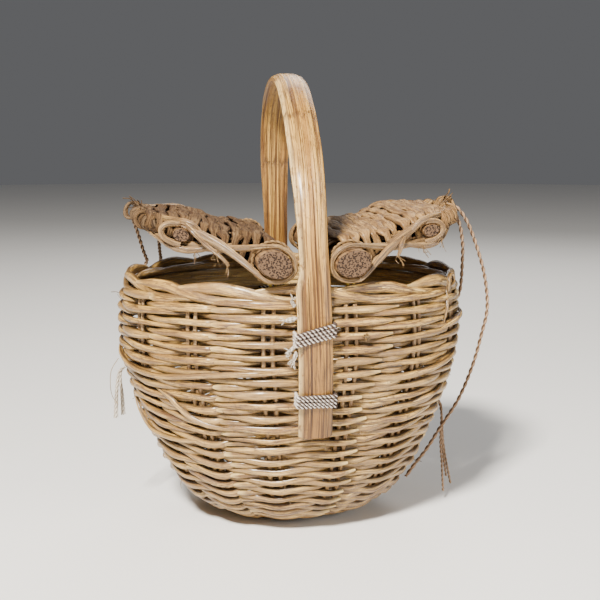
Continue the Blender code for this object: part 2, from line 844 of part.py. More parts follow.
def make_cords(material, pale_material):
    make_cord("right_free_cord", right_free_route, cord_diameter, material)
    make_cord("right_tie_cord", right_tie_route, cord_diameter, material)
    for letter, route in zip("abc", right_tail_routes):
        make_cord(f"right_tail_{letter}", route, tail_diameter, material)
    for letter, route in zip("ab", left_cord_routes):
        make_cord(f"left_cord_{letter}", route, cord_diameter, material)
    for letter, route in zip("ab", left_tail_routes):
        make_cord(f"left_tail_{letter}", route, tail_diameter, pale_material)


def make_basket():
    clear_scene()
    weave = make_material("straw_weave", straw)
    cane = make_material("pale_cane", pale_cane)
    thread = make_material("white_thread", white_thread)
    yellow = make_material("yellow_thread", yellow_thread)
    cord = make_material("brown_cord", brown_cord)
    lid_materials = {
        "bar": make_material("bar_cane", bar_cane),
        "lid": make_material("lid_straw", lid_straw),
    }
    make_base(weave)
    wall = make_wall(weave)
    make_stakes(cane)
    border = make_border(weave)
    make_handle(cane)
    make_lashings(wall, thread)
    left_axis = make_lid_axis("left_lid_axis", -left_bar_offset, left_lid_angle, True)
    right_axis = make_lid_axis("right_lid_axis", right_bar_offset, right_lid_angle, False)
    make_lid("left", left_axis, lid_materials)
    make_lid("right", right_axis, lid_materials)
    for side, offset in (("left", -left_bar_offset), ("right", right_bar_offset)):
        make_tie(f"{side}_front_tie", offset, -1, border, yellow)
        make_tie(f"{side}_rear_tie", offset, 1, border, yellow)
    make_cords(cord, thread)


make_basket()
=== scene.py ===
# Looks of a small woven basket with a strap handle and two lids that lift.
from math import cos, exp, pi, radians, sin, sqrt, tau

import bmesh
import bpy
import numpy as np
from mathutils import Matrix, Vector


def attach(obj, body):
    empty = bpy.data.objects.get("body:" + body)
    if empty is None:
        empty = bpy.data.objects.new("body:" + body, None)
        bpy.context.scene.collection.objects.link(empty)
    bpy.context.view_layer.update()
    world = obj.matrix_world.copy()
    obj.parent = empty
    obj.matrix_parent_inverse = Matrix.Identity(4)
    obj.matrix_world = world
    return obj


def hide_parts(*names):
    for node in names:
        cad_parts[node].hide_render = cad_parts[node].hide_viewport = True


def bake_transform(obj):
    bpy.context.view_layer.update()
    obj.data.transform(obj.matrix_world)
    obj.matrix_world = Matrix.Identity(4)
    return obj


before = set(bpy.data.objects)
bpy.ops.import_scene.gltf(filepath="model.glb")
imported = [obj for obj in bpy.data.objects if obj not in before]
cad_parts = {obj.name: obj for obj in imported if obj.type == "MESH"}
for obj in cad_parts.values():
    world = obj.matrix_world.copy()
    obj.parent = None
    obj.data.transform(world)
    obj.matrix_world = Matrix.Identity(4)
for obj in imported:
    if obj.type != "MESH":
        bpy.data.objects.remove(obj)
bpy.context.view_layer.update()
mm = 0.001
scene = bpy.context.scene


def placed(name, data):
    item = bpy.data.objects.new(name, data)
    scene.collection.objects.link(item)
    return item


# Camera, floor and light

viewSettings = {
    "azimuth": radians(-8.0), "elevation": radians(8.8), "distance": 0.336,
    "target": (0.003, 0.0, 0.06737), "lens": 63.5, "sensor": 36.0,
}
floorSettings = {"radius": 2.4, "colour": (0.80, 0.79, 0.77), "rough": 0.75, "segments": 96}
worldSettings = {"colour": (0.95, 0.96, 1.0), "strength": 0.125}
lampSettings = (
    {"name": "keyLamp", "place": (-0.26, -0.50, 0.64), "size": 0.11, "power": 25.0,
     "colour": (1.0, 0.95, 0.87)},
    {"name": "fillLamp", "place": (0.60, -0.45, 0.22), "size": 0.40, "power": 3.6,
     "colour": (1.0, 0.98, 0.95)},
    {"name": "rimLamp", "place": (0.25, 0.60, 0.55), "size": 0.40, "power": 2.4,
     "colour": (1.0, 0.98, 0.95)},
)


def aim(item, place, target):
    item.location = place
    item.rotation_euler = (Vector(target) - Vector(place)).to_track_quat("-Z", "Y").to_euler()


def makeCamera(s):
    level = cos(s["elevation"]) * s["distance"]
    place = Vector(s["target"]) + Vector((
        sin(s["azimuth"]) * level, -cos(s["azimuth"]) * level, sin(s["elevation"]) * s["distance"]))
    lens = bpy.data.cameras.new("photoCamera")
    lens.lens = s["lens"]
    lens.sensor_width = s["sensor"]
    lens.clip_start = 0.01
    item = placed("photoCamera", lens)
    aim(item, place, s["target"])
    scene.camera = item


def makeLamps(lamps, target):
    for s in lamps:
        lamp = bpy.data.lights.new(s["name"], "AREA")
        lamp.size = s["size"]
        lamp.energy = s["power"]
        lamp.color = s["colour"]
        aim(placed(s["name"], lamp), s["place"], target)


makeCamera(viewSettings)
makeLamps(lampSettings, viewSettings["target"])


# Nodes: a wire wraps one socket, and its operators add Math nodes

class Wire:
    def __init__(self, graph, node, socket):
        self.graph = graph
        self.node = node
        self.socket = socket

    def other(self, name):
        return Wire(self.graph, self.node, self.node.outputs[name])

    def maths(self, operation, *values):
        return self.graph.add("ShaderNodeMath", {"operation": operation}, dict(enumerate(values)))

    def __add__(self, value):
        return self.maths("ADD", self, value)

    def __sub__(self, value):
        return self.maths("SUBTRACT", self, value)

    def __mul__(self, value):
        return self.maths("MULTIPLY", self, value)

    def __pow__(self, value):
        return self.maths("POWER", self, value)

    def __rsub__(self, value):
        return self.maths("SUBTRACT", value, self)

    __radd__ = __add__

    def wave(self, operation="COSINE"):
        return self.maths(operation, self)

    def held(self, low, high):  # 0 below low, 1 above high
        return self.graph.add("ShaderNodeMapRange", {"interpolation_type": "SMOOTHSTEP"}, {
            "Value": self, "From Min": low, "From Max": high})


class Graph:
    def __init__(self, tree):
        self.tree = tree

    def add(self, kind, settings=None, values=None, output=None):
        node = self.tree.nodes.new(kind)
        for key, value in (settings or {}).items():
            setattr(node, key, value)
        for key, value in (values or {}).items():
            socket = self.socketOf(node, key)
            if isinstance(value, Wire):
                self.tree.links.new(value.socket, socket)
            elif value is not None:
                socket.default_value = value
        shown = [socket for socket in node.outputs if socket.enabled]
        if output is not None:
            return Wire(self, node, next(socket for socket in shown if socket.name == output))
        return Wire(self, node, shown[0] if shown else None)

    def socketOf(self, node, key):
        if isinstance(key, int):
            return node.inputs[key]
        found = [socket for socket in node.inputs if socket.name == key and socket.enabled]
        return found[0] if found else node.inputs[key]

    def vector(self, x, y, z):
        return self.add("ShaderNodeCombineXYZ", None, {0: x, 1: y, 2: z})

    def scaled(self, vector, scale):
        return self.add("ShaderNodeVectorMath", {"operation": "MULTIPLY"}, {0: vector, 1: scale})

    def moved(self, vector, shift):
        return self.add("ShaderNodeVectorMath", {"operation": "ADD"}, {0: vector, 1: shift})

    def noise(self, vector, detail, rough, scale=1.0):
        return self.add("ShaderNodeTexNoise", None, {
            "Vector": vector, "Scale": scale, "Detail": detail, "Roughness": rough})

    def mix(self, factor, first, second, blend="MIX"):
        return self.add("ShaderNodeMix", {"data_type": "RGBA", "blend_type": blend, "clamp_factor": True}, {
            "Factor": factor, "A": colourOf(first), "B": colourOf(second)})


def colourOf(value):
    return (*value, 1.0) if isinstance(value, tuple) and len(value) == 3 else value


def newMaterial(name):
    material = bpy.data.materials.new(name)
    material.use_nodes = True
    material.node_tree.nodes.clear()
    return material, Graph(material.node_tree)


def finishMaterial(graph, values, bump=None):
    # bump: height wire, distance in metres, strength
    if bump:
        values["Normal"] = graph.add("ShaderNodeBump", None, {
            "Strength": bump[2], "Distance": bump[1], "Height": bump[0]})
    surface = graph.add("ShaderNodeBsdfPrincipled", None, values)
    graph.add("ShaderNodeOutputMaterial", None, {"Surface": surface})


def attribute(graph, name, output="Fac"):
    settings = {"attribute_name": name, "attribute_type": "GEOMETRY"}
    return graph.add("ShaderNodeAttribute", settings, None, output)


# Materials

def strandMaterial(name, look):
    # Round strands: streaks along each strand, a tint of its own, stains over the whole basket,
    # painted shade on sunk parts and along the strands' sides, and a paler tone where the shade value is
    # below zero
    material, graph = newMaterial(name)
    grain = attribute(graph, "grain", "Vector")
    tint = attribute(graph, "tint")
    # Above zero, painted shade where a strand lies sunk behind others; below zero, a paler tone
    depth = attribute(graph, "shadeAndPale")
    shift = graph.vector(tint * 53.0, tint * 17.0, tint * 29.0)
    place = graph.add("ShaderNodeTexCoord", None, None, "Object")
    broad = graph.noise(graph.moved(graph.scaled(grain, (95.0, 1.0, 1.0)), shift), 2.0, 0.55)
    fibre = graph.noise(graph.moved(graph.scaled(grain, (70.0, 2.6, 2.6)), shift), 4.0, 0.75)
    fine = graph.noise(graph.moved(graph.scaled(grain, (260.0, 4.0, 4.0)), shift), 2.0, 0.65)
    facing = graph.add("ShaderNodeSeparateXYZ", None, {0: grain}, "Y")  # 1 on the outer side, -1 on the inner
    outer = facing.wave("ABSOLUTE")
    stain = graph.noise(graph.scaled(place, (52.0, 52.0, 70.0)), 3.0, 0.6)
    darkest = graph.noise(graph.moved(graph.scaled(grain, (330.0, 1.7, 1.7)), shift), 2.0, 0.5)
    speck = graph.noise(place, 2.0, 0.6, 1500.0)
    colour = graph.mix(broad.held(0.34, 0.60), look["middle"], look["light"])
    colour = graph.mix(broad.held(0.58, 0.74) * look["bleach"], colour, look["pale"])
    colour = graph.mix(fibre.held(0.50, 0.56) * look["streaks"], colour, look["dark"])
    colour = graph.mix(fine.held(0.53, 0.60) * look["streaks"], colour, look["dark"])
    colour = graph.mix(darkest.held(0.64, 0.73) * 0.7, colour, look["darkest"])
    colour = graph.mix(speck.held(0.60, 0.68) * 0.6, colour, look["darkest"])
    colour = graph.mix(stain.held(0.48, 0.72) * look["stains"], colour, look["dark"])
    colour = graph.mix((tint * 7.31).wave("FRACT") * look["variety"], colour, look["other"])
    # Painted shade on sunk parts, on the outer side only, mixed towards the darkest colour
    colour = graph.mix(depth * facing.held(-0.5, 0.3) * look["shade"], colour, look["darkest"])
    # Painted shade along each strand's sides, where it meets the rows beside it
    colour = graph.mix((1.0 - outer.held(0.05, 0.72)) * look["creviceShade"], colour, look["darkest"])
    colour = graph.mix(depth * -0.9, colour, look["pale"])
    rough = look["rough"] + fibre * 0.25
    height = fibre * 0.8 + broad * 0.4 + fine * 0.45 - darkest.held(0.6, 0.75) * 0.3
    finishMaterial(graph, {
        "Base Color": colour, "Roughness": rough, "Specular IOR Level": look["shine"],
        "Coat Weight": look["wax"], "Coat Roughness": 0.2,
    }, (height, look["bump"], 1.0))
    return material


def splitCaneMaterial(name, look):
    # Split cane: straight streaks, pores in short dashes, and darker nodes across, with a painted highlight
    # on the front leg's left edge and painted shade towards the foot
    material, graph = newMaterial(name)
    grain = attribute(graph, "grain", "Vector")
    place = graph.add("ShaderNodeTexCoord", None, None, "Object")
    broad = graph.noise(graph.scaled(grain, (7.0, 300.0, 300.0)), 2.0, 0.5)
    streak = graph.noise(graph.scaled(grain, (16.0, 1050.0, 1050.0)), 3.0, 0.68)
    line = graph.noise(graph.scaled(grain, (24.0, 2300.0, 2300.0)), 2.0, 0.6)
    dash = graph.noise(graph.scaled(grain, (190.0, 2900.0, 2900.0)), 2.0, 0.5)
    stain = graph.noise(graph.scaled(place, (55.0, 55.0, 38.0)), 3.0, 0.6)
    cross = graph.noise(graph.scaled(grain, (520.0, 70.0, 70.0)), 2.0, 0.5)
    colour = graph.mix(broad.held(0.36, 0.62), look["middle"], look["light"])
    colour = graph.mix(streak.held(0.48, 0.58) * look["streaks"], colour, look["dark"])
    colour = graph.mix(line.held(0.54, 0.62) * look["streaks"], colour, look["darkest"])
    colour = graph.mix(dash.held(0.60, 0.70) * 0.6, colour, look["darkest"])
    colour = graph.mix(stain.held(0.50, 0.74) * look["stains"], colour, look["dark"])
    colour = graph.mix(cross.held(0.66, 0.76) * 0.35, colour, look["dark"])
    # Painted shade: the colour is multiplied darker towards the foot of the handle
    level = graph.add("ShaderNodeSeparateXYZ", None, {0: place}, "Z")
    colour = graph.mix(1.0 - level.held(*look["footShadeHeight"]), colour, look["foot"], "MULTIPLY")
    blotch = graph.noise(graph.scaled(grain, (420.0, 800.0, 800.0)), 3.0, 0.65)
    colour = graph.mix(blotch.held(0.54, 0.66) * 0.5, colour, look["dark"])
    # Painted highlight along the left edge of the front leg, broken up by blotches
    colour = graph.mix(attribute(graph, "paintedLitEdge") * blotch.held(0.30, 0.50) * 0.75, colour, look["pale"])
    mark = attribute(graph, "nodeMark") * blotch.held(0.38, 0.52)
    colour = graph.mix(mark * 0.85, colour, look["darkest"])
    height = (1.0 - streak.held(0.40, 0.70) * 0.8 - line.held(0.50, 0.70) * 0.5 + broad * 0.5
              - dash.held(0.58, 0.72) * 0.3 - mark * 0.5)
    finishMaterial(graph, {
        "Base Color": colour, "Roughness": look["rough"] + streak * 0.25, "Specular IOR Level": look["shine"],
        "Coat Weight": look["wax"], "Coat Roughness": 0.2,
    }, (height, look["bump"], 1.0))
    return material


def endGrainMaterial(name, look):
    # Thick cane: streaks along the sides and open pores in both cut ends
    material, graph = newMaterial(name)
    grain = attribute(graph, "grain", "Vector")
    cut = attribute(graph, "cutEnd")
    spots = graph.scaled(grain, (0.0, 1.0, 1.0))
    cells = graph.add("ShaderNodeTexVoronoi", {"feature": "F1"}, {
        "Vector": spots, "Scale": look["poreScale"], "Randomness": 0.85}, "Distance")
    sizes = graph.noise(spots, 2.0, 0.5, look["poreScale"] * 0.45)
    pore = 1.0 - (cells + sizes * 0.35).held(0.58, 0.68)
    speck = graph.noise(spots, 3.0, 0.7, look["poreScale"] * 2.4)
    side = graph.noise(graph.scaled(grain, (22.0, 900.0, 900.0)), 3.0, 0.6)
    stain = graph.noise(grain, 3.0, 0.6, 120.0)
    ends = graph.mix(speck.held(0.35, 0.65), look["endDark"], look["endLight"])
    ends = graph.mix(pore, ends, look["pore"])
    sides = graph.mix(side.held(0.35, 0.65), look["dark"], look["light"])
    sides = graph.mix(stain.held(0.50, 0.75) * 0.6, sides, look["pore"])
    colour = graph.mix(cut, sides, ends)
    height = cut * (1.0 - pore) * 1.2 + speck * 0.25 + side * 0.4
    finishMaterial(graph, {
        "Base Color": colour, "Roughness": look["rough"] + speck * 0.15, "Specular IOR Level": 0.25,
    }, (height, look["bump"], 1.0))
    return material


def twistMaterial(name, look):
    # Thread and cord: two plies in different shades that wind round each other, with fine fibres
    material, graph = newMaterial(name)
    grain = attribute(graph, "grain", "Vector")
    ply = attribute(graph, "ply")
    tint = attribute(graph, "tint")
    shift = graph.vector(tint * 9.0, 0.0, 0.0)
    fibre = graph.noise(graph.moved(graph.scaled(grain, (900.0, 2.4, 2.4)), shift), 3.0, 0.7)
    patch = graph.noise(graph.scaled(grain, (140.0, 0.6, 0.6)), 2.0, 0.5)
    colour = graph.mix(ply.held(*look["share"]), look["second"], look["first"])
    colour = graph.mix(fibre.held(0.50, 0.75) * look["fuzz"], colour, look["fluff"])
    colour = graph.mix(patch.held(0.5, 0.8) * look["dirt"], colour, look["dark"])
    if "low" in look:
        place = graph.add("ShaderNodeTexCoord", None, None, "Object")
        level = graph.add("ShaderNodeSeparateXYZ", None, {0: place}, "Z")
        colour = graph.mix(1.0 - level.held(*look["lowHeight"]), colour, look["low"])
    finishMaterial(graph, {
        "Base Color": colour, "Roughness": 0.72 + fibre * 0.2, "Specular IOR Level": 0.2,
    }, (fibre, 0.00012, 0.8))
    return material


looks = {
    "weave": {
        "pale": (0.97, 0.70, 0.28), "light": (0.65, 0.38, 0.082), "middle": (0.31, 0.153, 0.027),
        "dark": (0.085, 0.030, 0.007), "darkest": (0.026, 0.009, 0.002), "other": (0.45, 0.275, 0.085),
        "streaks": 0.90, "stains": 0.5, "variety": 0.45, "shade": 0.88, "creviceShade": 0.88, "bleach": 0.8,
        "rough": 0.29, "shine": 0.6, "wax": 0.45, "bump": 0.00050,
    },
    "stake": {
        "pale": (0.78, 0.60, 0.36), "light": (0.58, 0.365, 0.15), "middle": (0.35, 0.185, 0.060),
        "dark": (0.11, 0.040, 0.010), "darkest": (0.035, 0.012, 0.003), "other": (0.44, 0.28, 0.125),
        "streaks": 0.7, "stains": 0.5, "variety": 0.5, "shade": 0.6, "creviceShade": 0.6, "bleach": 0.5,
        "rough": 0.40, "shine": 0.45, "wax": 0.3, "bump": 0.00026,
    },
    "leftLid": {
        "pale": (0.29, 0.195, 0.10), "light": (0.165, 0.094, 0.039), "middle": (0.082, 0.041, 0.015),
        "dark": (0.038, 0.015, 0.005), "darkest": (0.012, 0.004, 0.001), "other": (0.17, 0.115, 0.066),
        "streaks": 0.85, "stains": 0.6, "variety": 0.6, "shade": 0.85, "creviceShade": 0.8, "bleach": 0.35,
        "rough": 0.62, "shine": 0.15, "wax": 0.0, "bump": 0.00042,
    },
    "rightLid": {
        "pale": (0.62, 0.43, 0.21), "light": (0.38, 0.222, 0.078), "middle": (0.20, 0.102, 0.030),
        "dark": (0.075, 0.028, 0.007), "darkest": (0.018, 0.006, 0.002), "other": (0.31, 0.195, 0.09),
        "streaks": 0.85, "stains": 0.5, "variety": 0.5, "shade": 0.88, "creviceShade": 0.8, "bleach": 0.5,
        "rough": 0.56, "shine": 0.2, "wax": 0.08, "bump": 0.00042,
    },
    "binding": {
        "pale": (0.72, 0.53, 0.27), "light": (0.44, 0.26, 0.083), "middle": (0.22, 0.111, 0.030),
        "dark": (0.068, 0.025, 0.007), "darkest": (0.020, 0.007, 0.002), "other": (0.33, 0.205, 0.09),
        "streaks": 0.92, "stains": 0.4, "variety": 0.5, "shade": 0.5, "creviceShade": 0.55, "bleach": 0.6,
        "rough": 0.38, "shine": 0.45, "wax": 0.3, "bump": 0.00046,
    },
    "handle": {
        "pale": (0.90, 0.64, 0.28), "light": (0.57, 0.325, 0.075), "middle": (0.36, 0.178, 0.034),
        # foot: a colour multiplied in low down, painted shade towards the handle's foot
        "dark": (0.145, 0.058, 0.012), "darkest": (0.070, 0.026, 0.005), "foot": (0.61, 0.52, 0.38),
        "footShadeHeight": (0.062, 0.100), "streaks": 0.92, "stains": 0.55, "rough": 0.34, "shine": 0.5,
        "wax": 0.3, "bump": 0.00042,
    },
    "bar": {
        "light": (0.24, 0.138, 0.060), "dark": (0.09, 0.042, 0.015), "endLight": (0.150, 0.088, 0.047),
        "endDark": (0.066, 0.034, 0.017), "pore": (0.016, 0.007, 0.003), "poreScale": 2050.0,
        "rough": 0.6, "bump": 0.0003,
    },
    "thread": {
        "first": (0.62, 0.55, 0.48), "second": (0.050, 0.032, 0.026), "fluff": (0.42, 0.37, 0.32),
        "fuzz": 0.12, "dark": (0.09, 0.062, 0.046), "dirt": 0.8, "share": (0.62, 0.74),
    },
    "cord": {
        "first": (0.31, 0.200, 0.120), "second": (0.085, 0.045, 0.023), "fluff": (0.44, 0.32, 0.21),
        "fuzz": 0.45, "dark": (0.08, 0.043, 0.022), "dirt": 0.6, "share": (0.42, 0.58),
    },
    "tail": {
        "first": (0.62, 0.57, 0.49), "second": (0.36, 0.30, 0.235), "fluff": (0.70, 0.66, 0.60),
        "fuzz": 0.6, "dark": (0.17, 0.12, 0.08), "dirt": 0.6, "share": (0.42, 0.58),
    },
    "tie": {
        "first": (0.25, 0.150, 0.062), "second": (0.13, 0.072, 0.028), "fluff": (0.30, 0.20, 0.10),
        "fuzz": 0.4, "dark": (0.09, 0.045, 0.015), "dirt": 0.4, "share": (0.42, 0.58),
        "low": (0.72, 0.50, 0.08), "lowHeight": (0.0772, 0.0790),
    },
}
materials = {
    "weave": strandMaterial("wovenStraw", looks["weave"]),
    "stake": strandMaterial("stakeCane", looks["stake"]),
    "leftLid": strandMaterial("darkStrips", looks["leftLid"]),
    "rightLid": strandMaterial("agedStrips", looks["rightLid"]),
    "binding": strandMaterial("bindingStrips", looks["binding"]),
    "handle": splitCaneMaterial("splitCane", looks["handle"]),
    "bar": endGrainMaterial("thickCane", looks["bar"]),
    "thread": twistMaterial("whiteThread", looks["thread"]),
    "cord": twistMaterial("brownCord", looks["cord"]),
    "tail": twistMaterial("paleTail", looks["tail"]),
    "tie": twistMaterial("yellowThread", looks["tie"]),
}
print("materials made")


def makeFloor(s):
    mesh = bpy.data.meshes.new("floor")
    form = bmesh.new()
    bmesh.ops.create_circle(form, cap_ends=True, segments=s["segments"], radius=s["radius"])
    form.to_mesh(mesh)
    form.free()
    material, graph = newMaterial("paleFloor")
    place = graph.add("ShaderNodeTexCoord", None, None, "Object")
    mottle = graph.noise(place, 3.0, 0.5, 18.0)
    dimmer = tuple(value * 0.97 for value in s["colour"])
    finishMaterial(graph, {"Base Color": graph.mix(mottle, s["colour"], dimmer), "Roughness": s["rough"]})
    mesh.materials.append(material)
    item = placed("floor", mesh)


def makeWorld(s):
    world = bpy.data.worlds.new("paleRoom")
    world.use_nodes = True
    back = world.node_tree.nodes["Background"]
    back.inputs["Color"].default_value = (*s["colour"], 1.0)
    back.inputs["Strength"].default_value = s["strength"]
    scene.world = world


makeFloor(floorSettings)
makeWorld(worldSettings)


# Paths

def smoothed(points, steps):
    # A smooth line through the points, as an array
    points = np.asarray(points, float)
    padded = np.vstack([points[:1], points, points[-1:]])
    share = np.linspace(0.0, 1.0, steps, endpoint=False)[:, None]
    parts = []
    for a, b, c, d in zip(padded, padded[1:], padded[2:], padded[3:]):
        parts.append((2 * b + (c - a) * share + (2 * a - 5 * b + 4 * c - d) * share ** 2
                      + (3 * b - a - 3 * c + d) * share ** 3) / 2)
    return np.vstack(parts + [points[-1:]])


def lengthsAlong(points):
    return np.concatenate([[0.0], np.cumsum(np.linalg.norm(np.diff(points[:, :3], axis=0), axis=1))])


def evened(points, spacing):
    # Even steps along the line; columns past the third are carried along
    points = np.asarray(points, float)
    lengths = lengthsAlong(points)
    count = max(3, round(lengths[-1] / spacing) + 1)
    places = np.linspace(0.0, lengths[-1], count)
    return np.stack([np.interp(places, lengths, points[:, axis]) for axis in range(points.shape[1])], axis=1)


def laid(points, steps, spacing):
    return evened(smoothed(points, steps), spacing)


def risen(value, start, reach):
    # 0 up to the start, 1 past the reach, and a straight rise between them
    return np.clip((value - start) / reach, 0.0, 1.0)


def unit(vectors):
    return vectors / np.linalg.norm(vectors, axis=-1, keepdims=True)


def rippled(rng, count, turns, size):
    # A soft random wave along a line: a few sines with seeded phases
    share = np.linspace(0.0, 1.0, count)
    total = np.zeros(count)
    for number in range(1, 5):
        total += rng.normal() * np.sin(tau * (turns * number * 0.61 * share + rng.random())) / number ** 0.7
    return total * size / 2.0


def tapered(count, start, end, least):
    # Thickness shares that fall to a tip over a number of points at each end
    share = np.ones(count)
    for length, order in ((start, slice(None)), (end, slice(None, None, -1))):
        length = min(length, count // 2)
        part = share[order]
        part[:length] *= least + (1 - least) * np.sin(np.linspace(0.0, pi / 2, length))
    return share


# Meshes

def storeOn(mesh, name, values):
    # A number or a vector for each point
    values = np.asarray(values, np.float32)
    kind, field = ("FLOAT_VECTOR", "vector") if values.ndim == 2 else ("FLOAT", "value")
    mesh.attributes.new(name, kind, "POINT").data.foreach_set(field, values.ravel())


def bridge(form, rings):
    # Faces between closed rings that follow each other
    for low, high in zip(rings, rings[1:]):
        for step in range(len(low)):
            after = (step + 1) % len(low)
            form.faces.new((low[step], low[after], high[after], high[step]))


def shaped(name, form, values, look, sharp):
    # A finished form as an object, with its values for each point
    bmesh.ops.recalc_face_normals(form, faces=form.faces)
    form.verts.index_update()
    mesh = bpy.data.meshes.new(name)
    form.to_mesh(mesh)
    form.free()
    for label, column in values.items():
        storeOn(mesh, label, column)
    mesh.shade_smooth()
    mesh.set_sharp_from_angle(angle=sharp)
    mesh.materials.append(materials[look])
    return placed(name, mesh)


# Strands: Geometry Nodes sweep a section along guide lines

class Strands:
    def __init__(self):
        self.points = []
        self.edges = []
        self.values = {"facing": [], "thick": [], "tint": [], "shadeAndPale": []}

    # The last value is painted shade for sunk parts where above zero, and a paler tone where below
    def add(self, points, facing, thick, tint, shadeAndPale=0.0):
        points = np.asarray(points, float)
        count = len(points)
        start = len(self.points)
        self.points += [tuple(point) for point in points]
        self.edges += [(start + step, start + step + 1) for step in range(count - 1)]
        self.values["facing"] += list(np.broadcast_to(np.asarray(facing, float), (count, 3)))
        for name, value in (("thick", thick), ("tint", tint), ("shadeAndPale", shadeAndPale)):
            self.values[name] += list(np.broadcast_to(np.asarray(value, float), count))

    def guide(self):
        mesh = bpy.data.meshes.new("guide")
        mesh.from_pydata(self.points, self.edges, [])
        for name, values in self.values.items():
            storeOn(mesh, name, values)
        return placed("guide", mesh)


def strandTree():
    # Inputs: size of the section, fine ridges along it, and how many plies it is twisted from
    tree = bpy.data.node_groups.new("strandSweep", "GeometryNodeTree")
    graph = Graph(tree)
    tree.interface.new_socket("Geometry", in_out="INPUT", socket_type="NodeSocketGeometry")
    kinds = {"Sides": "Int", "Material": "Material"}
    for label in ("Width", "Thickness", "Sides", "Ridge", "Ridge scale", "Ridge run", "Plies", "Ply depth",
                  "Twist", "Material"):
        kind = kinds.get(label, "Float")
        tree.interface.new_socket(label, in_out="INPUT", socket_type=f"NodeSocket{kind}")
    tree.interface.new_socket("Geometry", in_out="OUTPUT", socket_type="NodeSocketGeometry")
    start = graph.add("NodeGroupInput")

    def field(name, kind="FLOAT"):
        return graph.add("GeometryNodeInputNamedAttribute", {"data_type": kind}, {"Name": name}, "Attribute")

    def stored(geometry, name, value, kind="FLOAT"):
        return graph.add("GeometryNodeStoreNamedAttribute", {"data_type": kind, "domain": "POINT"}, {
            "Geometry": geometry, "Name": name, "Value": value})

    path = graph.add("GeometryNodeMeshToCurve", None, {"Mesh": start.other("Geometry")})
    path = graph.add("GeometryNodeSetCurveNormal", {"mode": "FREE"}, {
        "Curve": path, "Normal": field("facing", "FLOAT_VECTOR")})
    path = graph.add("GeometryNodeSetCurveRadius", None, {"Curve": path, "Radius": field("thick")})
    path = stored(path, "along", graph.add("GeometryNodeSplineParameter", None, None, "Length"))
    ring = graph.add("GeometryNodeCurvePrimitiveCircle", None, {
        "Resolution": start.other("Sides"), "Radius": 0.5})
    ring = stored(ring, "around", graph.add("GeometryNodeSplineParameter", None, None, "Factor"))
    size = graph.vector(start.other("Thickness"), start.other("Width"), 1.0)
    ring = graph.add("GeometryNodeTransform", None, {"Geometry": ring, "Scale": size})
    body = graph.add("GeometryNodeCurveToMesh", None, {
        "Curve": path, "Profile Curve": ring, "Scale": field("thick"), "Fill Caps": True})
    turn = field("around") * tau
    along = field("along")
    grain = graph.vector(along, turn.wave("COSINE"), turn.wave("SINE"))
    body = stored(body, "grain", grain, "FLOAT_VECTOR")
    across = start.other("Ridge scale")
    streak = graph.scaled(grain, graph.vector(start.other("Ridge run"), across, across))
    shift = graph.vector(field("tint") * 91.0, field("tint") * 37.0, 0.0)
    ridge = (graph.noise(graph.moved(streak, shift), 3.0, 0.6) - 0.5) * start.other("Ridge") * 2.0
    plies = start.other("Plies")
    wind = turn * (plies * 0.5) - along * start.other("Twist")
    lobes = ((wind.wave() ** 2.0 + 0.12) ** 0.5) - 1.0
    twisted = graph.add("ShaderNodeMath", {"operation": "MINIMUM"}, {0: plies, 1: 1.0})
    groove = lobes * start.other("Ply depth") * start.other("Width") * 0.5 * twisted
    body = stored(body, "ply", wind.wave("SINE") * wind.wave("COSINE") + 0.5)
    normal = graph.add("GeometryNodeInputNormal", None, None, "Normal")
    push = graph.add("ShaderNodeVectorMath", {"operation": "SCALE"}, {
        0: normal, "Scale": (ridge + groove) * field("thick")})
    body = graph.add("GeometryNodeSetPosition", None, {"Geometry": body, "Offset": push})
    body = graph.add("GeometryNodeSetShadeSmooth", None, {"Geometry": body, "Shade Smooth": True})
    body = graph.add("GeometryNodeRealizeInstances", None, {"Geometry": body})
    body = graph.add("GeometryNodeSetMaterial", None, {"Geometry": body, "Material": start.other("Material")})
    graph.add("NodeGroupOutput", None, {"Geometry": body})
    return tree


sweep = strandTree()


def section(width, thickness, sides, ridge, ridgeScale, ridgeRun, plies=0.0, plyDepth=0.0, twist=0.0):
    # A strand's cross-section, under the names of the tree's inputs
    return {
        "Width": width, "Thickness": thickness, "Sides": sides, "Ridge": ridge, "Ridge scale": ridgeScale,
        "Ridge run": ridgeRun, "Plies": plies, "Ply depth": plyDepth, "Twist": twist,
    }


def grown(name, strands, values, look):
    # The swept strands as one plain mesh
    guide = strands.guide()
    modifier = guide.modifiers.new("sweep", "NODES")
    modifier.node_group = sweep
    values = {**values, "Material": materials[look]}
    for item in sweep.interface.items_tree:
        if item.in_out == "INPUT" and item.name in values:
            modifier[item.identifier] = values[item.name]
    bpy.context.view_layer.update()
    result = guide.evaluated_get(bpy.context.evaluated_depsgraph_get())
    mesh = bpy.data.meshes.new_from_object(result)
    mesh.name = name
    guide.modifiers.clear()
    line = guide.data
    bpy.data.objects.remove(guide)
    bpy.data.meshes.remove(line)
    for extra in ("along", "around", "thick", "facing"):
        if extra in mesh.attributes:
            mesh.attributes.remove(mesh.attributes[extra])
    return placed(name, mesh)


def settle(item, body, slot, *nodes):
    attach(item, body)
    if nodes:
        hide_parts(*nodes)


# Cords: the same points as the solids, in millimetres

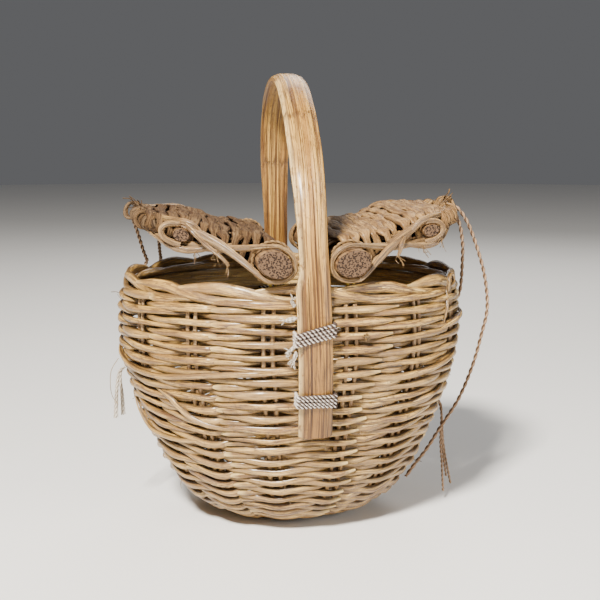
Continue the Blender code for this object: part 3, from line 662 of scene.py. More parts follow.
cordSettings = {
    "diameters": {"cord": 1.2 * mm, "tail": 0.8 * mm}, "spacing": 0.42 * mm, "sides": 12, "smooth": 24,
    "twist": 1.56, "depth": 0.85, "ridge": 0.05 * mm, "ridgeScale": 1.5, "ridgeRun": 900.0,
    "facing": (0.0, 1.0, 0.0), "tailFibres": 7, "tailSpread": (0.42, 0.3, 0.2), "declaredFrom": 30 * mm,
}
cordRoutes = {
    "right_free_cord": (
        (52.8, 0.0, 96.7), (55.0, 0.0, 94.9), (57.6, 0.0, 90.8), (60.2, 0.0, 84.6), (62.6, -1.0, 76.4),
        (64.0, -1.0, 69.0), (63.9, -2.0, 62.5), (62.5, -2.0, 56.0), (59.4, -3.0, 45.6), (54.6, -4.0, 34.6),
        (48.4, -5.0, 25.5), (43.6, -6.0, 18.6), (40.0, -6.0, 14.0), (36.5, -7.0, 9.9)),
    "right_tie_cord": (
        (52.4, 2.2, 96.3), (53.8, 2.8, 94.4), (55.8, 3.3, 90.2), (57.0, 3.8, 84.0), (57.1, 4.0, 78.0),
        (56.9, 4.0, 72.6), (56.6, 4.0, 69.4), (56.0, 4.0, 67.2), (54.7, 4.0, 66.0)),
    "right_tail_a": (
        (48.2, -1.7, 33.0), (49.3, -1.9, 31.6), (49.4, -2.2, 27.0),
        (49.1, -2.6, 20.0), (49.6, -3.0, 13.0), (50.2, -3.2, 3.2)),
    "right_tail_b": (
        (48.3, 0.0, 33.4), (49.7, 0.1, 31.8), (50.2, 0.2, 27.0),
        (50.4, 0.2, 20.0), (51.2, 0.3, 13.0), (52.2, 0.4, 7.0)),
    "right_tail_c": (
        (48.2, 1.7, 33.0), (49.8, 2.0, 31.4), (50.9, 2.2, 26.0),
        (51.4, 2.4, 19.0), (52.6, 2.6, 12.0), (54.4, 2.8, 3.6)),
    "left_cord_a": (
        (-49.3, 3.6, 94.9), (-48.7, 5.4, 92.8), (-47.4, 10.0, 88.0), (-46.0, 15.0, 82.4),
        (-45.0, 19.2, 79.1), (-44.9, 22.6, 78.1), (-45.8, 25.0, 75.8), (-46.8, 25.8, 72.4),
        (-47.2, 25.6, 69.6), (-47.1, 24.9, 67.6), (-46.4, 24.3, 67.0)),
    "left_cord_b": (
        (-41.2, 6.0, 90.1), (-41.1, 8.2, 88.0), (-40.9, 13.6, 84.9), (-40.6, 20.0, 80.9),
        (-40.3, 24.4, 78.8), (-40.3, 27.5, 78.3), (-40.9, 30.0, 76.0), (-41.9, 31.1, 72.4),
        (-42.3, 30.8, 69.6), (-42.2, 30.4, 67.7), (-41.6, 29.75, 67.0)),
    "left_tail_a": (
        (-52.8, 1.0, 47.0), (-54.2, 0.8, 45.6), (-54.9, 0.4, 42.0), (-55.3, 0.0, 37.0), (-55.6, -0.2, 31.2)),
    "left_tail_b": (
        (-52.5, 3.6, 46.6), (-53.8, 3.7, 45.2), (-54.0, 3.8, 42.0), (-53.6, 4.0, 37.0), (-53.4, 4.2, 31.0)),
}
tiedCords = {  # cords that hang from a lid, and what holds the far end
    "right_free_cord": ("right_lid", "bare"), "right_tie_cord": ("right_lid", "object"),
    "left_cord_a": ("left_lid", "object"), "left_cord_b": ("left_lid", "object"),
}


def makeCords(s):
    for name, route in cordRoutes.items():
        fluffy = name.startswith("left_tail")
        diameter = s["diameters"]["tail" if "tail" in name else "cord"]
        path = laid(np.array(route) * mm, s["smooth"], s["spacing"])
        strands = Strands()
        strands.add(path, s["facing"], 1.0, 0.37 + 0.11 * len(name))
        if fluffy:
            rng = np.random.default_rng(len(path))
            spread = np.linspace(0.25, 1.0, len(path))[:, None] ** 0.7
            for _ in range(s["tailFibres"]):
                away = rng.normal(size=3) * s["tailSpread"] * mm
                thick = rng.uniform(0.35, 0.55)
                strands.add(path[2:] + (away * spread)[2:], s["facing"], thick, rng.random())
        twine = section(diameter, diameter, s["sides"], s["ridge"], s["ridgeScale"], s["ridgeRun"],
                        2.0, s["depth"], s["twist"] / diameter)
        piece = grown(name.replace("_", "-") + "-twine", strands, twine, "tail" if fluffy else "cord")
        slot = "thread" if fluffy else "cord"
        lid, farEnd = tiedCords.get(name, (None, "bare"))
        if lid:
            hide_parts(name)
            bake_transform(piece)
        else:
            settle(piece, "basket", slot, name)


makeCords(cordSettings)
print("cords made")


# The woven body: one shape for the wall, the base, the stakes and the border

bodySettings = {
    "halfWidth": 54.3 * mm, "halfDepth": 45.0 * mm, "height": 74.0 * mm,
    "profile": ((0.0, 0.0), (0.12, 0.0), (0.24, 0.0), (0.324, 0.0), (0.442, 0.027), (0.558, 0.068),
                (0.657, 0.135), (0.755, 0.243), (0.838, 0.378), (0.923, 0.541), (0.986, 0.703),
                (1.0, 0.851), (0.983, 1.0)),
    "pairs": 14, "middle": 2.35 * mm, "seamShare": 0.442, "probe": 1.2 * mm,
}
pairStep = tau / bodySettings["pairs"]


def meridian(s):
    # Shares of width and height against the length along the wall, from the middle of the base
    line = smoothed(np.array(s["profile"]), 16)
    radius = (s["halfWidth"] + s["halfDepth"]) / 2
    steps = np.hypot(np.diff(line[:, 0]) * radius, np.diff(line[:, 1]) * s["height"])
    return np.concatenate([[0.0], np.cumsum(steps)]), line


bodyLengths, bodyLine = meridian(bodySettings)
bodyLength = bodyLengths[-1]


def sharesAt(length):
    return np.stack([np.interp(length, bodyLengths, bodyLine[:, axis]) for axis in (0, 1)])


def onBody(turn, length, inset):
    # Points at an angle from the front and a length up the wall, with their outward normals
    s = bodySettings
    turn, length, inset = np.broadcast_arrays(*(np.asarray(value, float) for value in (turn, length, inset)))
    share = sharesAt(length)
    slope = sharesAt(length + s["probe"]) - sharesAt(length - s["probe"])
    wide, deep, tall = s["halfWidth"], s["halfDepth"], s["height"]
    point = np.stack([wide * share[0] * np.sin(turn), -deep * share[0] * np.cos(turn), tall * share[1]], -1)
    normal = unit(np.stack([
        deep * tall * slope[1] * np.sin(turn), -wide * tall * slope[1] * np.cos(turn),
        -wide * deep * slope[0]], -1))
    return point - normal * inset[..., None], normal


def lengthAtHeight(height):
    return np.interp(height / bodySettings["height"], bodyLine[:, 1], bodyLengths)


weaveSettings = {
    "section": section(width=2.2 * mm, thickness=1.804 * mm, sides=16, ridge=0.25 * mm, ridgeScale=2.1,
                       ridgeRun=60.0),
    "rowPitch": 1.88 * mm, "firstRow": 8.0 * mm, "topGap": 1.2 * mm, "spacing": 1.0 * mm,
    "radius": 49.6 * mm, "leastRadius": 6.0 * mm, "leastPoints": 24,
    "depth": 1.30 * mm, "dip": 0.2, "tuck": 0.45, "sag": 0.85 * mm, "warp": 1.7 * mm,
    "wander": (40 * mm, 0.30 * mm), "sway": (22 * mm, 0.14 * mm), "uneven": (34 * mm, 0.21),
    "thick": (0.54, 1.30), "tapers": (3.2 * mm, 7.5 * mm), "paleTip": 3.5 * mm, "clearance": 0.41,
    "frontJoint": -1.22, "rightJoint": 0.75, "jointDrift": 0.45, "hidden": 0.77, "seed": 41,
}


def warpAt(turn, length):
    # Rows dip and rise together, most of all on the left side
    slow = np.sin(2 * turn + 0.6) * 0.35 + np.sin(3 * turn - 1.1) * 0.3 + np.sin(5 * turn + 2.0) * 0.2
    left = np.exp(-((np.angle(np.exp(1j * (turn + 1.40)))) / 0.46) ** 2)
    return (slow + left * 1.7) * np.sin(pi * risen(length, 30 * mm, 50 * mm))


def weaveLevel(phase, dip):
    # 1 where a row lies over a pair of stakes, about -1 where it ducks behind the next
    fromUnder = 1 - np.abs((phase + 1) % 2 - 1)
    return 0.72 + 0.28 * np.cos(pi * phase) - 1.44 * np.exp(-(fromUnder / dip) ** 2)


def weaveStrand(rng, row, length, begin, finish, ends, s, strands):
    # One strand of a row. Each end shows outside or is tucked in behind its neighbour.
    radius = sharesAt(length)[0] * s["radius"]
    reach = (finish - begin) * max(radius, s["leastRadius"])
    count = max(s["leastPoints"], int(reach / s["spacing"]))
    turn = np.linspace(begin, finish, count)
    phase = turn / pairStep - 0.5 + row + 1
    level = weaveLevel(phase, s["dip"])
    paleness = np.zeros(count)
    wave, size = s["uneven"]
    thick = 0.86 + 0.17 * np.cos(pi * phase)
    uneven = rippled(rng, count, reach / wave, size) + rng.normal() * 0.08
    thick = np.clip(thick * (1.0 + uneven), *s["thick"])
    for shown, away, taper in zip(ends, (turn - begin, finish - turn), s["tapers"]):
        away = away / pairStep
        run = away * pairStep * radius
        if shown:
            near = 1 - risen(away, 0.0, 0.3)
            level = np.maximum(level, 0.75 * near + level * (1 - near))
            thick = thick * (0.42 + 0.58 * np.sin(pi / 2 * risen(run, 0.0, taper)))
            paleness = np.maximum(paleness, (1 - risen(run, 0.0, s["paleTip"])) * rng.uniform(0.2, 1.0))
        else:
            near = 1 - risen(away, s["tuck"] * 0.6, s["tuck"] * 0.5)
            level = level * (1 - near) - 0.7 * near
            thick = thick * (0.5 + 0.5 * risen(away, 0.0, 0.15))
    sag = s["sag"] * np.cos(tau * phase) * min(1.0, radius / (25 * mm))
    sag = sag * (1 - risen(length, 24 * mm, 52 * mm))
    wave, size = s["wander"]
    along = length + s["warp"] * warpAt(turn, length) - sag + rippled(rng, count, reach / wave, size)
    wave, size = s["sway"]
    inset = bodySettings["middle"] - s["depth"] * level + rippled(rng, count, reach / wave, size)
    point, normal = onBody(turn, along, inset)
    half = s["clearance"] * s["section"]["Width"] + s["section"]["Ridge"]
    point[:, 2] = np.maximum(point[:, 2], half * thick)  # nothing goes below the floor
    # Painted shade where the row ducks behind a pair of stakes; the shown ends are paler
    shadeAndPale = np.clip(0.42 - level * 0.42, 0.0, 1.0) - paleness
    strands.add(point, normal, thick, rng.random(), shadeAndPale)


def weaveRow(rng, row, length, s, strands):
    # Every other row is joined at the front, right of the second pair on the left and before the second
    # on the right. A joint that should hide lies just past a pair that the row goes behind.
    height = float(sharesAt(length)[1]) * bodySettings["height"]
    tuck = s["tuck"] * pairStep
    hidden = s["hidden"] + rng.normal() * 0.03
    middle = (5 + row % 2 + 2 * int(rng.integers(0, 3)) + hidden) * pairStep
    if row % 2:
        first = (s["frontJoint"] + rng.normal() * 0.03) * pairStep
        drift = max(0.0, height - 45 * mm) / (28 * mm) * s["jointDrift"]
        last = (s["rightJoint"] + drift + rng.normal() * 0.05) * pairStep
        sideJoint = (2 + hidden) * pairStep
        runs = ((first, last, True, True), (last - tuck * 0.8, sideJoint + tuck, False, False),
                (sideJoint, middle + tuck, True, False), (middle, first + tuck + tau, True, False))
    else:
        side = ((-3 if row % 6 == 2 else -5) + hidden) * pairStep
        runs = ((side, middle + tuck, True, False), (middle, side + tau + tuck, True, False))
    for begin, finish, *ends in runs:
        weaveStrand(rng, row, length, begin, finish, ends, s, strands)


def makeWeave(s):
    rng = np.random.default_rng(s["seed"])
    widest = bodyLine[:, 0].argmax()
    seam = np.interp(bodySettings["seamShare"], bodyLine[:widest, 0], bodyLengths[:widest])
    top = bodyLength - s["topGap"]
    rows = int((top - s["firstRow"]) / s["rowPitch"])
    lengths = [s["firstRow"] + (top - s["firstRow"]) * row / rows for row in range(rows + 1)]
    base = sum(length < seam for length in lengths)
    third = (len(lengths) - base) // 3
    starts = (0, base, base + third, base + 2 * third, len(lengths))
    for label, start, end in zip(("base", "low", "middle", "high"), starts, starts[1:]):
        strands = Strands()
        for row in range(start, end):
            weaveRow(rng, row, lengths[row], s, strands)
        piece = grown(f"{label}WeaveRows", strands, s["section"], "weave")
        settle(piece, "basket", "weave", "base_weave" if label == "base" else "wall_weave")
        print(label, "rows", end - start, "faces", len(piece.data.polygons))


makeWeave(weaveSettings)

stakeSettings = {
    "section": section(width=1.4 * mm, thickness=1.4 * mm, sides=8, ridge=0.06 * mm, ridgeScale=1.3,
                       ridgeRun=80.0),
    "spacing": 2.35 * mm, "start": 5.5 * mm, "topGap": 0.4 * mm, "step": 1.3 * mm, "leastRadius": 4 * mm,
    "closest": 0.24, "lean": 0.35 * mm, "uneven": 0.1, "thick": (0.8, 1.2), "seed": 7,
}


def makeStakes(s):
    rng = np.random.default_rng(s["seed"])
    length = np.arange(s["start"], bodyLength - s["topGap"], s["step"])
    for pair in range(bodySettings["pairs"]):
        strands = Strands()
        middle = (pair + 0.5) * pairStep
        centre, _ = onBody(middle, length, bodySettings["middle"])
        radius = np.hypot(centre[:, 0], centre[:, 1])
        spread = np.minimum(s["spacing"] / 2, s["closest"] * radius * pairStep)
        for side in (-1, 1):
            lean = rippled(rng, len(length), 1.5, s["lean"])
            turn = middle + (side * spread + lean) / np.maximum(radius, s["leastRadius"])
            point, normal = onBody(turn, length, bodySettings["middle"])
            thick = np.clip(1.0 + rippled(rng, len(length), 4, s["uneven"]), *s["thick"])
            # A steady painted shade on the stakes, which lie behind the rows
            strands.add(point, normal, thick, rng.random(), 0.35)
        piece = grown(f"stakePair{pair + 1:02d}", strands, s["section"], "stake")
        settle(piece, "basket", "cane", f"stake_pair_{pair + 1:02d}")


makeStakes(stakeSettings)
print("stakes made")

borderSettings = {
    "section": section(width=3.7 * mm, thickness=2.3 * mm, sides=14, ridge=0.18 * mm, ridgeScale=1.9,
                       ridgeRun=45.0),
    "setback": 2.75 * mm, "height": 75.6 * mm, "cells": 2.1, "radius": 49 * mm, "spacing": 0.9 * mm,
    "rise": (0.6 * mm, -2.3 * mm), "reach": (0.2 * mm, 0.9 * mm), "swell": 0.5 * mm, "kick": 0.8 * mm,
    "uneven": 0.14 * mm, "offset": 0.36,
    "lens": ((0.0, 0.06, 0.2, 0.36, 0.55, 0.8, 1.0), (0.22, 0.5, 0.92, 1.0, 0.82, 0.62, 0.3)),
    # Painted shade along each border strand: paler at its start, darker where it sinks below the next
    "shadeAndPale": ((0.0, 0.08, 0.3, 0.6, 1.0), (-0.5, 0.0, 0.0, 0.25, 0.6)),
    "innerAcross": (-1.7 * mm, 0.4 * mm), "innerHeight": (-0.7 * mm, -0.5 * mm), "innerSize": 0.68,
    "coreDrops": (1.4 * mm, 3.0 * mm, 4.6 * mm, 6.2 * mm), "coreInset": 4.0 * mm, "coreSize": 0.55,
    "corePoints": 300, "seed": 5,
}


def makeBorder(s):
    # A rolled border: from each pair a strand swells up on the crest, and sinks below the one that
    # starts next. A plainer set fills the inner side, and long strands run round under the crest.
    rng = np.random.default_rng(s["seed"])
    strands = Strands()
    for inner in (False, True):
        for pair in range(bodySettings["pairs"]):
            begin = (pair - 0.06 + s["offset"] + rng.normal() * 0.05 + 0.5 * inner) * pairStep
            reach = (s["cells"] + rng.random() * 0.3) * pairStep
            count = int(reach * s["radius"] / s["spacing"])
            share = np.linspace(0.0, 1.0, count)
            point, normal = onBody(begin + reach * share, bodyLength, 0.0)
            outward = unit(normal * (1, 1, 0))
            sink = risen(share, 0.28, 0.42)
            sink = sink * sink * (3 - 2 * sink)
            across = s["reach"][0] + (s["reach"][1] - s["reach"][0]) * sink
            height = s["rise"][0] + (s["rise"][1] - s["rise"][0]) * sink
            height += s["swell"] * np.sin(pi * np.minimum(1.0, share * 2.2)) * (1 + rng.normal() * 0.3)
            across += s["kick"] * (1 - risen(share, 0.0, 0.16))
            if inner:
                across = s["innerAcross"][0] + s["innerAcross"][1] * np.sin(tau * share)
                height = s["innerHeight"][0] + s["innerHeight"][1] * share
            place = point + outward * (across - s["setback"])[:, None]
            place[:, 2] = s["height"] + height + rippled(rng, count, 3, s["uneven"])
            thick = (s["innerSize"] if inner else 1.0) * np.interp(share, *s["lens"])
            thick = thick * (1.0 + rippled(rng, count, 2, 0.06) + rng.normal() * 0.05)
            # Painted shade on the inner set and where a strand sinks below the next; the start of each strand
            # is paler
            shadeAndPale = 0.35 if inner else np.interp(share, *s["shadeAndPale"])
            strands.add(place, outward, thick, rng.random(), shadeAndPale)
    turn = np.linspace(0.0, tau, s["corePoints"]) + s["offset"]
    for drop in s["coreDrops"]:
        along = bodyLength - drop + rippled(rng, len(turn), 9, 0.15 * mm)
        place, normal = onBody(turn, along, s["coreInset"] + rippled(rng, len(turn), 7, 0.10 * mm))
        thick = s["coreSize"] * (1 + rippled(rng, len(turn), 8, 0.10))
        strands.add(place, normal, thick, rng.random(), -0.15)
    settle(grown("rimBorderStrands", strands, s["section"], "weave"), "basket", "weave", "rim_border")


makeBorder(borderSettings)
print("border made")


# Handle: a split cane strip on the line of its solid

handleSettings = {
    "width": 9.6 * mm, "thickness": 2.6 * mm, "height": 137.9 * mm, "foot": 35.2 * mm, "gap": 0.3 * mm,
    "reach": 44.235 * mm, "legTop": 9 * mm, "legPoints": 8,
    "waistHeight": 84.2 * mm, "waistHalf": 9.0 * mm, "waistAbove": 34.0 * mm, "waistDepth": 1.4 * mm,
    "lean": 1.5 * mm, "leanTop": 88.0 * mm, "leanReach": 50.0 * mm,
    "arch": ((-1.0, 0.0), (-0.992, 0.08), (-0.965, 0.18), (-0.90, 0.36), (-0.78, 0.56), (-0.60, 0.72),
             (-0.38, 0.853), (-0.12, 0.951), (0.14, 1.001), (0.38, 1.001), (0.67, 0.940), (0.87, 0.83),
             (0.97, 0.66), (1.0, 0.45), (1.0, 0.25), (1.0, 0.0)),
    "nodes": ((-1, 124.0 * mm), (1, 110.0 * mm)), "nodeWidth": 1.1 * mm, "paintedLitEdge": 1.5 * mm,
    "spacing": 1.2 * mm, "across": 26, "ridge": 0.11 * mm, "uneven": 0.16 * mm, "sharp": radians(50),
    "seed": 23,
}


def legLean(height):
    # The front leg leans a little to the right towards its foot
    s = handleSettings
    return s["lean"] * risen(-height, -s["leanTop"], s["leanReach"])


def handleLine(s):
    gap = s["gap"] + s["thickness"] / 2
    lengths = np.linspace(lengthAtHeight(s["foot"]), bodyLength - s["legTop"], s["legPoints"])
    front, _ = onBody(0.0, lengths, -gap)
    reach = s["reach"] + gap
    wall = bodySettings["height"]
    rise = s["height"] - s["thickness"] / 2 - wall
    arch = np.array([(0.0, reach * along, wall + rise * up) for along, up in s["arch"]])
    back = front[::-1] * (1, -1, 1)
    line = np.vstack([smoothed(front, 4)[:-1], smoothed(arch, 6), smoothed(back, 4)[1:]])
    line[:, 0] += np.where(line[:, 1] < 0, legLean(line[:, 2]), 0.0)
    return evened(line, s["spacing"])


def ridgeAt(step, index, s):
    return s["ridge"] * 0.5 * sin(step * 2.3 + sin(index * 0.05 + step) * 1.4)


def nodeMarkAt(length, across, nodes, s):
    # The dark rings of the cane wander a little across the strip
    wobble = 0.7 * mm * sin(across * 1900) + 0.5 * mm * sin(across * 3700 + 1)
    return max(exp(-((length - node + wobble) / s["nodeWidth"]) ** 2) for node in nodes)


def makeHandle(s):
    rng = np.random.default_rng(s["seed"])
    line = handleLine(s)
    ahead = unit(np.gradient(line, axis=0))
    outward = np.stack([np.zeros(len(line)), -ahead[:, 2], ahead[:, 1]], 1)
    above = line[:, 2] - s["waistHeight"]
    near = risen(np.abs(above) / np.where(above > 0, s["waistAbove"], s["waistHalf"]), 0.0, 1.0)
    waist = s["waistDepth"] * (1 + np.cos(pi * near)) / 2
    lengths = lengthsAlong(line)
    leftEdge = rippled(rng, len(line), 9, s["uneven"]) + waist - s["width"] / 2
    rightEdge = rippled(rng, len(line), 9, s["uneven"]) + s["width"] / 2
    half = s["across"] // 2
    ridges = [rng.normal() * s["ridge"] * 0.5 for _ in range(half + 1)]
    nodes = [lengths[np.argmin(np.abs(line[:, 2] - height) + (line[:, 1] * way < 0))]
             for way, height in s["nodes"]]
    form = bmesh.new()
    rings = []
    values = {"grain": [], "paintedLitEdge": [], "nodeMark": []}
    for index, (point, left, right) in enumerate(zip(line, leftEdge, rightEdge)):
        ring = []
        for outer, steps in ((True, range(half + 1)), (False, range(half, -1, -1))):
            for step in steps:
                share = step / half
                across = left + (right - left) * share
                edge = abs(2 * share - 1)
                if outer:
                    out = s["thickness"] * 0.5 * (1 - edge ** 3.2) + ridges[step] * (1 - edge ** 4)
                    out += ridgeAt(step, index, s)
                else:
                    out = -s["thickness"] * (0.5 - 0.12 * edge ** 6)
                place = point + outward[index] * out
                ring.append(form.verts.new((place[0] + across, place[1], place[2])))
                # A painted highlight on the outer side of the front leg, fading over a short band from its
                # left edge
                pale = max(0.0, 1 - (across - left) / s["paintedLitEdge"]) if outer and point[1] < 0 else 0.0
                values["grain"].append((lengths[index], across, out))
                values["paintedLitEdge"].append(pale)
                values["nodeMark"].append(nodeMarkAt(lengths[index], across, nodes, s))
        rings.append(ring)
    bridge(form, rings)
    form.faces.new(rings[0][::-1])
    form.faces.new(rings[-1])
    settle(shaped("handleStrip", form, values, "handle", s["sharp"]), "basket", "cane", "handle_strip")


makeHandle(handleSettings)
print("handle made")


# Lashings and hinge ties: twisted thread round the handle and the bars

threadSettings = {
    "section": section(width=1.08 * mm, thickness=1.08 * mm, sides=14, ridge=0.05 * mm, ridgeScale=1.5,
                       ridgeRun=900.0, plies=2.0, plyDepth=0.85, twist=2700.0),
    "spacing": 0.28 * mm, "turns": 4, "pitch": 1.0 * mm, "handleHalf": 4.8 * mm, "gap": 0.6 * mm,
    "wall": 4.6 * mm, "strip": 2.9 * mm, "wander": 0.10 * mm, "uneven": 0.09, "seed": 3,
}
lashingPlans = (
    # node, front or rear, height, how much higher its right end is
    ("front_upper_lashing", -1, 65.0 * mm, 2.6 * mm), ("front_lower_lashing", -1, 46.0 * mm, 0.2 * mm),
    ("rear_upper_lashing", 1, 65.0 * mm, 1.4 * mm), ("rear_lower_lashing", 1, 46.0 * mm, 0.0),
)
tuftSettings = {
    "stubs": 5, "shift": 0.3 * mm, "thick": (0.55, 0.4), "length": 1.9 * mm, "spread": 0.5, "fibre": 0.22,
    # across, height, fibres, and the reach of the stub across and up
    "places": ((-5.6 * mm, 69.4 * mm, 5, (-2.7, -0.5)), (-5.4 * mm, 73.0 * mm, 4, (-0.8, 1.6)),
               (-5.9 * mm, 61.6 * mm, 18, (-1.4, -1.2)), (-5.5 * mm, 59.6 * mm, 16, (-0.9, -1.9))),
}


def outAt(height, offset):
    # How far out from the middle a surface lies at the handle's legs
    point, normal = onBody(0.0, lengthAtHeight(height), 0.0)
    return float(-point[1] + offset / max(0.2, -normal[1]))


def frayed(strands, rng, root, direction, count, length, spread, thick):
    # Loose fibres that start together and bend apart
    for _ in range(count):
        way = np.array(direction) + rng.normal(size=3) * spread
        way = unit(way) * length * rng.uniform(0.5, 1.15)
        start = root + rng.normal(size=3) * 0.25 * mm
        bend = start + way * 0.5 + rng.normal(size=3) * length * 0.12
        strands.add(laid([start, bend, start + way], 4, 0.35 * mm), (0.1, 0.2, 1.0),
                    thick * rng.uniform(0.7, 1.2), rng.random(), 0.0)


def lashingRing(inside, outside, s):
    # One turn round a leg of the handle and the wall behind it: across, out
    gap, half = s["gap"], s["handleHalf"]
    corners = ((half, inside), (half, outside), (-half, outside), (-half, inside))
    ring = []
    for quarter, (across, out) in enumerate(corners):
        for step in range(3):
            bend = pi / 2 * (quarter - 1 + step / 2)
            ring.append((across + gap * cos(bend), out + gap * sin(bend)))
        sense = 1 if quarter < 2 else -1
        after = corners[(quarter + 1) % 4][1]
        if quarter % 2:
            out = outside + gap if sense > 0 else inside - gap
            ring += [(sense * half * share, out) for share in (0.5, 0.0, -0.5)]
        else:
            ring += [(sense * (half + gap), out + (after - out) * share) for share in (0.33, 0.67)]
    return ring


def makeLashing(name, side, height, tilt, s):
    rng = np.random.default_rng(s["seed"] + len(name))
    path = []
    for turn in range(s["turns"]):
        level = height + s["pitch"] * (turn - s["turns"] / 2)
        lean = legLean(level) if side < 0 else 0.0
        ring = lashingRing(outAt(level, -s["wall"]), outAt(level, s["strip"]), s)
        for index, (across, out) in enumerate(ring):
            lift = s["pitch"] * index / len(ring) + tilt / 2 * across / s["handleHalf"]
            path.append((across + lean, side * out, level + lift))
    path = laid(path, 8, s["spacing"])
    path[:, 2] += rippled(rng, len(path), 9, s["wander"])
    strands = Strands()
    strands.add(path, (0.0, 0.0, 1.0), 1.0 + rippled(rng, len(path), 14, s["uneven"]), rng.random())
    piece = grown(name.replace("_", "-") + "-thread", strands, s["section"], "thread")
    settle(piece, "basket", "thread", name)


def makeTufts(thread, s):
    # The thread's loose ends beside the upper lashing: short stubs that fray
    rng = np.random.default_rng(thread["seed"])
    strands = Strands()
    for across, tall, count, (aside, up) in s["places"]:
        root = np.array((across + legLean(tall), -outAt(tall, 1.0 * mm), tall))
        tip = root + np.array((aside, -0.7, up)) * mm
        start = root + (0.5 * mm, 0.4 * mm, 0.0)
        for _ in range(s["stubs"]):
            shift = rng.normal(size=3) * s["shift"]
            stub = laid([start, root + shift, (root + tip) / 2 + shift, tip], 4, thread["spacing"])
            strands.add(stub, (0.0, 0.0, 1.0), np.linspace(*s["thick"], len(stub)), rng.random(), 0.0)
        way = (aside * 0.5, -0.4, up * 0.5)
        frayed(strands, rng, tip, way, count, s["length"], s["spread"], s["fibre"])
    settle(grown("threadTufts", strands, {**thread["section"], "Plies": 0.0}, "tail"), "basket", "thread")


for plan in lashingPlans:
    makeLashing(*plan, threadSettings)
makeTufts(threadSettings, tuftSettings)

tieSettings = {
    "section": section(width=1.0 * mm, thickness=1.0 * mm, sides=12, ridge=0.05 * mm, ridgeScale=1.5,
                       ridgeRun=900.0, plies=2.0, plyDepth=0.85, twist=2000.0),
    "along": 40.0 * mm, "radius": 5.8 * mm, "neck": 0.8 * mm, "neckGap": 0.2 * mm, "seat": 76.0 * mm,
    "opening": radians(22), "steps": 18, "spacing": 0.36 * mm, "hinge": 84.2 * mm,
    "offsets": {"left": -10.2 * mm, "right": 11.6 * mm},
}


def makeTie(name, offset, side, s):
    # Up from the rim, round the bar and down again
    along = side * s["along"]
    neck = s["hinge"] - s["radius"] - s["neckGap"]
    path = [(offset - s["neck"], along, s["seat"]), (offset - s["neck"], along, neck)]
    for step in range(s["steps"] + 1):
        turn = -pi / 2 - s["opening"] - 2 * (pi - s["opening"]) * step / s["steps"]
        path.append((offset + s["radius"] * cos(turn), along, s["hinge"] + s["radius"] * sin(turn)))
    path += [(offset + s["neck"], along, neck), (offset + s["neck"], along, s["seat"])]
    strands = Strands()
    strands.add(laid(path, 6, s["spacing"]), (0.0, 1.0, 0.0), 1.0, 0.5)
    settle(grown(name.replace("_", "-") + "-thread", strands, s["section"], "tie"), "basket", "tie", name)


for side, offset in tieSettings["offsets"].items():
    makeTie(f"{side}_front_tie", offset, -1, tieSettings)
    makeTie(f"{side}_rear_tie", offset, 1, tieSettings)
print("threads made")


# Lids: ribs that loop round the bar and the outer rod, and weavers that run front to back

lidSettings = {
    "hinge": 84.2 * mm, "sides": {"left": (-10.2 * mm, radians(16.5)), "right": (11.6 * mm, radians(17.5))},
    "barHalf": 46.0 * mm, "barWide": 5.0 * mm, "barTall": 3.8 * mm,
    "rodOut": 26.0 * mm, "rodHalf": 34.0 * mm, "rodWide": 2.4 * mm, "rodTall": 1.75 * mm,
    "reach": 39.0 * mm, "edgeAtBar": 39.0 * mm, "edgeAtRod": 29.6 * mm, "edgeAtTip": 5.0 * mm,
    # height of the skin above the lid's plane, against the distance from the bar
    "skin": ((0.0, 6.0, 9.5, 14.0, 19.0, 23.4, 26.0, 28.8, 34.0, 39.0),
             (4.5, 3.8, 2.6, 1.5, 1.6, 2.3, 2.5, 2.1, 1.1, 0.6)),
}


def lidPlace(side, points):
    # Lid's own places (outwards, along the bar, up) to the basket's
    offset, angle = lidSettings["sides"][side]
    points = np.asarray(points, float)
    out = points[..., 0] * cos(angle) - points[..., 2] * sin(angle)
    up = points[..., 0] * sin(angle) + points[..., 2] * cos(angle)
    sense = -1.0 if side == "left" else 1.0
    return np.stack([offset + sense * out, points[..., 1], lidSettings["hinge"] + up], axis=-1)


def lidTurned(side, directions):
    return lidPlace(side, directions) - lidPlace(side, np.zeros(3))


def lidEdge(out):
    # Half of the lid's depth at a distance from the bar
    s = lidSettings
    if out < s["rodOut"]:
        return s["edgeAtBar"] + (s["edgeAtRod"] - s["edgeAtBar"]) * max(out, 0.0) / s["rodOut"]
    share = min(1.0, (out - s["rodOut"]) / (s["reach"] - s["rodOut"]))
    return s["edgeAtTip"] + (s["edgeAtRod"] - s["edgeAtTip"]) * sqrt(1 - share * share)


def lidReachAt(along):
    # How far out the lid goes at a place along the bar
    s = lidSettings
    along = abs(along)
    if along <= s["edgeAtTip"]:
        return s["reach"]
    if along < s["edgeAtRod"]:
        share = (along - s["edgeAtTip"]) / (s["edgeAtRod"] - s["edgeAtTip"])
        return s["rodOut"] + (s["reach"] - s["rodOut"]) * sqrt(1 - share * share)
    return s["rodOut"] * (s["edgeAtBar"] - along) / (s["edgeAtBar"] - s["edgeAtRod"])


def lidLevel(out):
    places, levels = lidSettings["skin"]
    return float(np.interp(out / mm, places, levels)) * mm


def finishLid(name, strands, s, side, look, node):
    settle(grown(name, strands, s["section"], look), f"{side}_lid", "lid", node)


rodSettings = {
    "around": 40, "along": 2.2 * mm, "rings": 7, "chamfer": 0.35 * mm, "chamferSize": 0.975, "faceSize": 0.95,
    "bulges": (0.018, 0.016, 0.012), "sharp": radians(40),
}


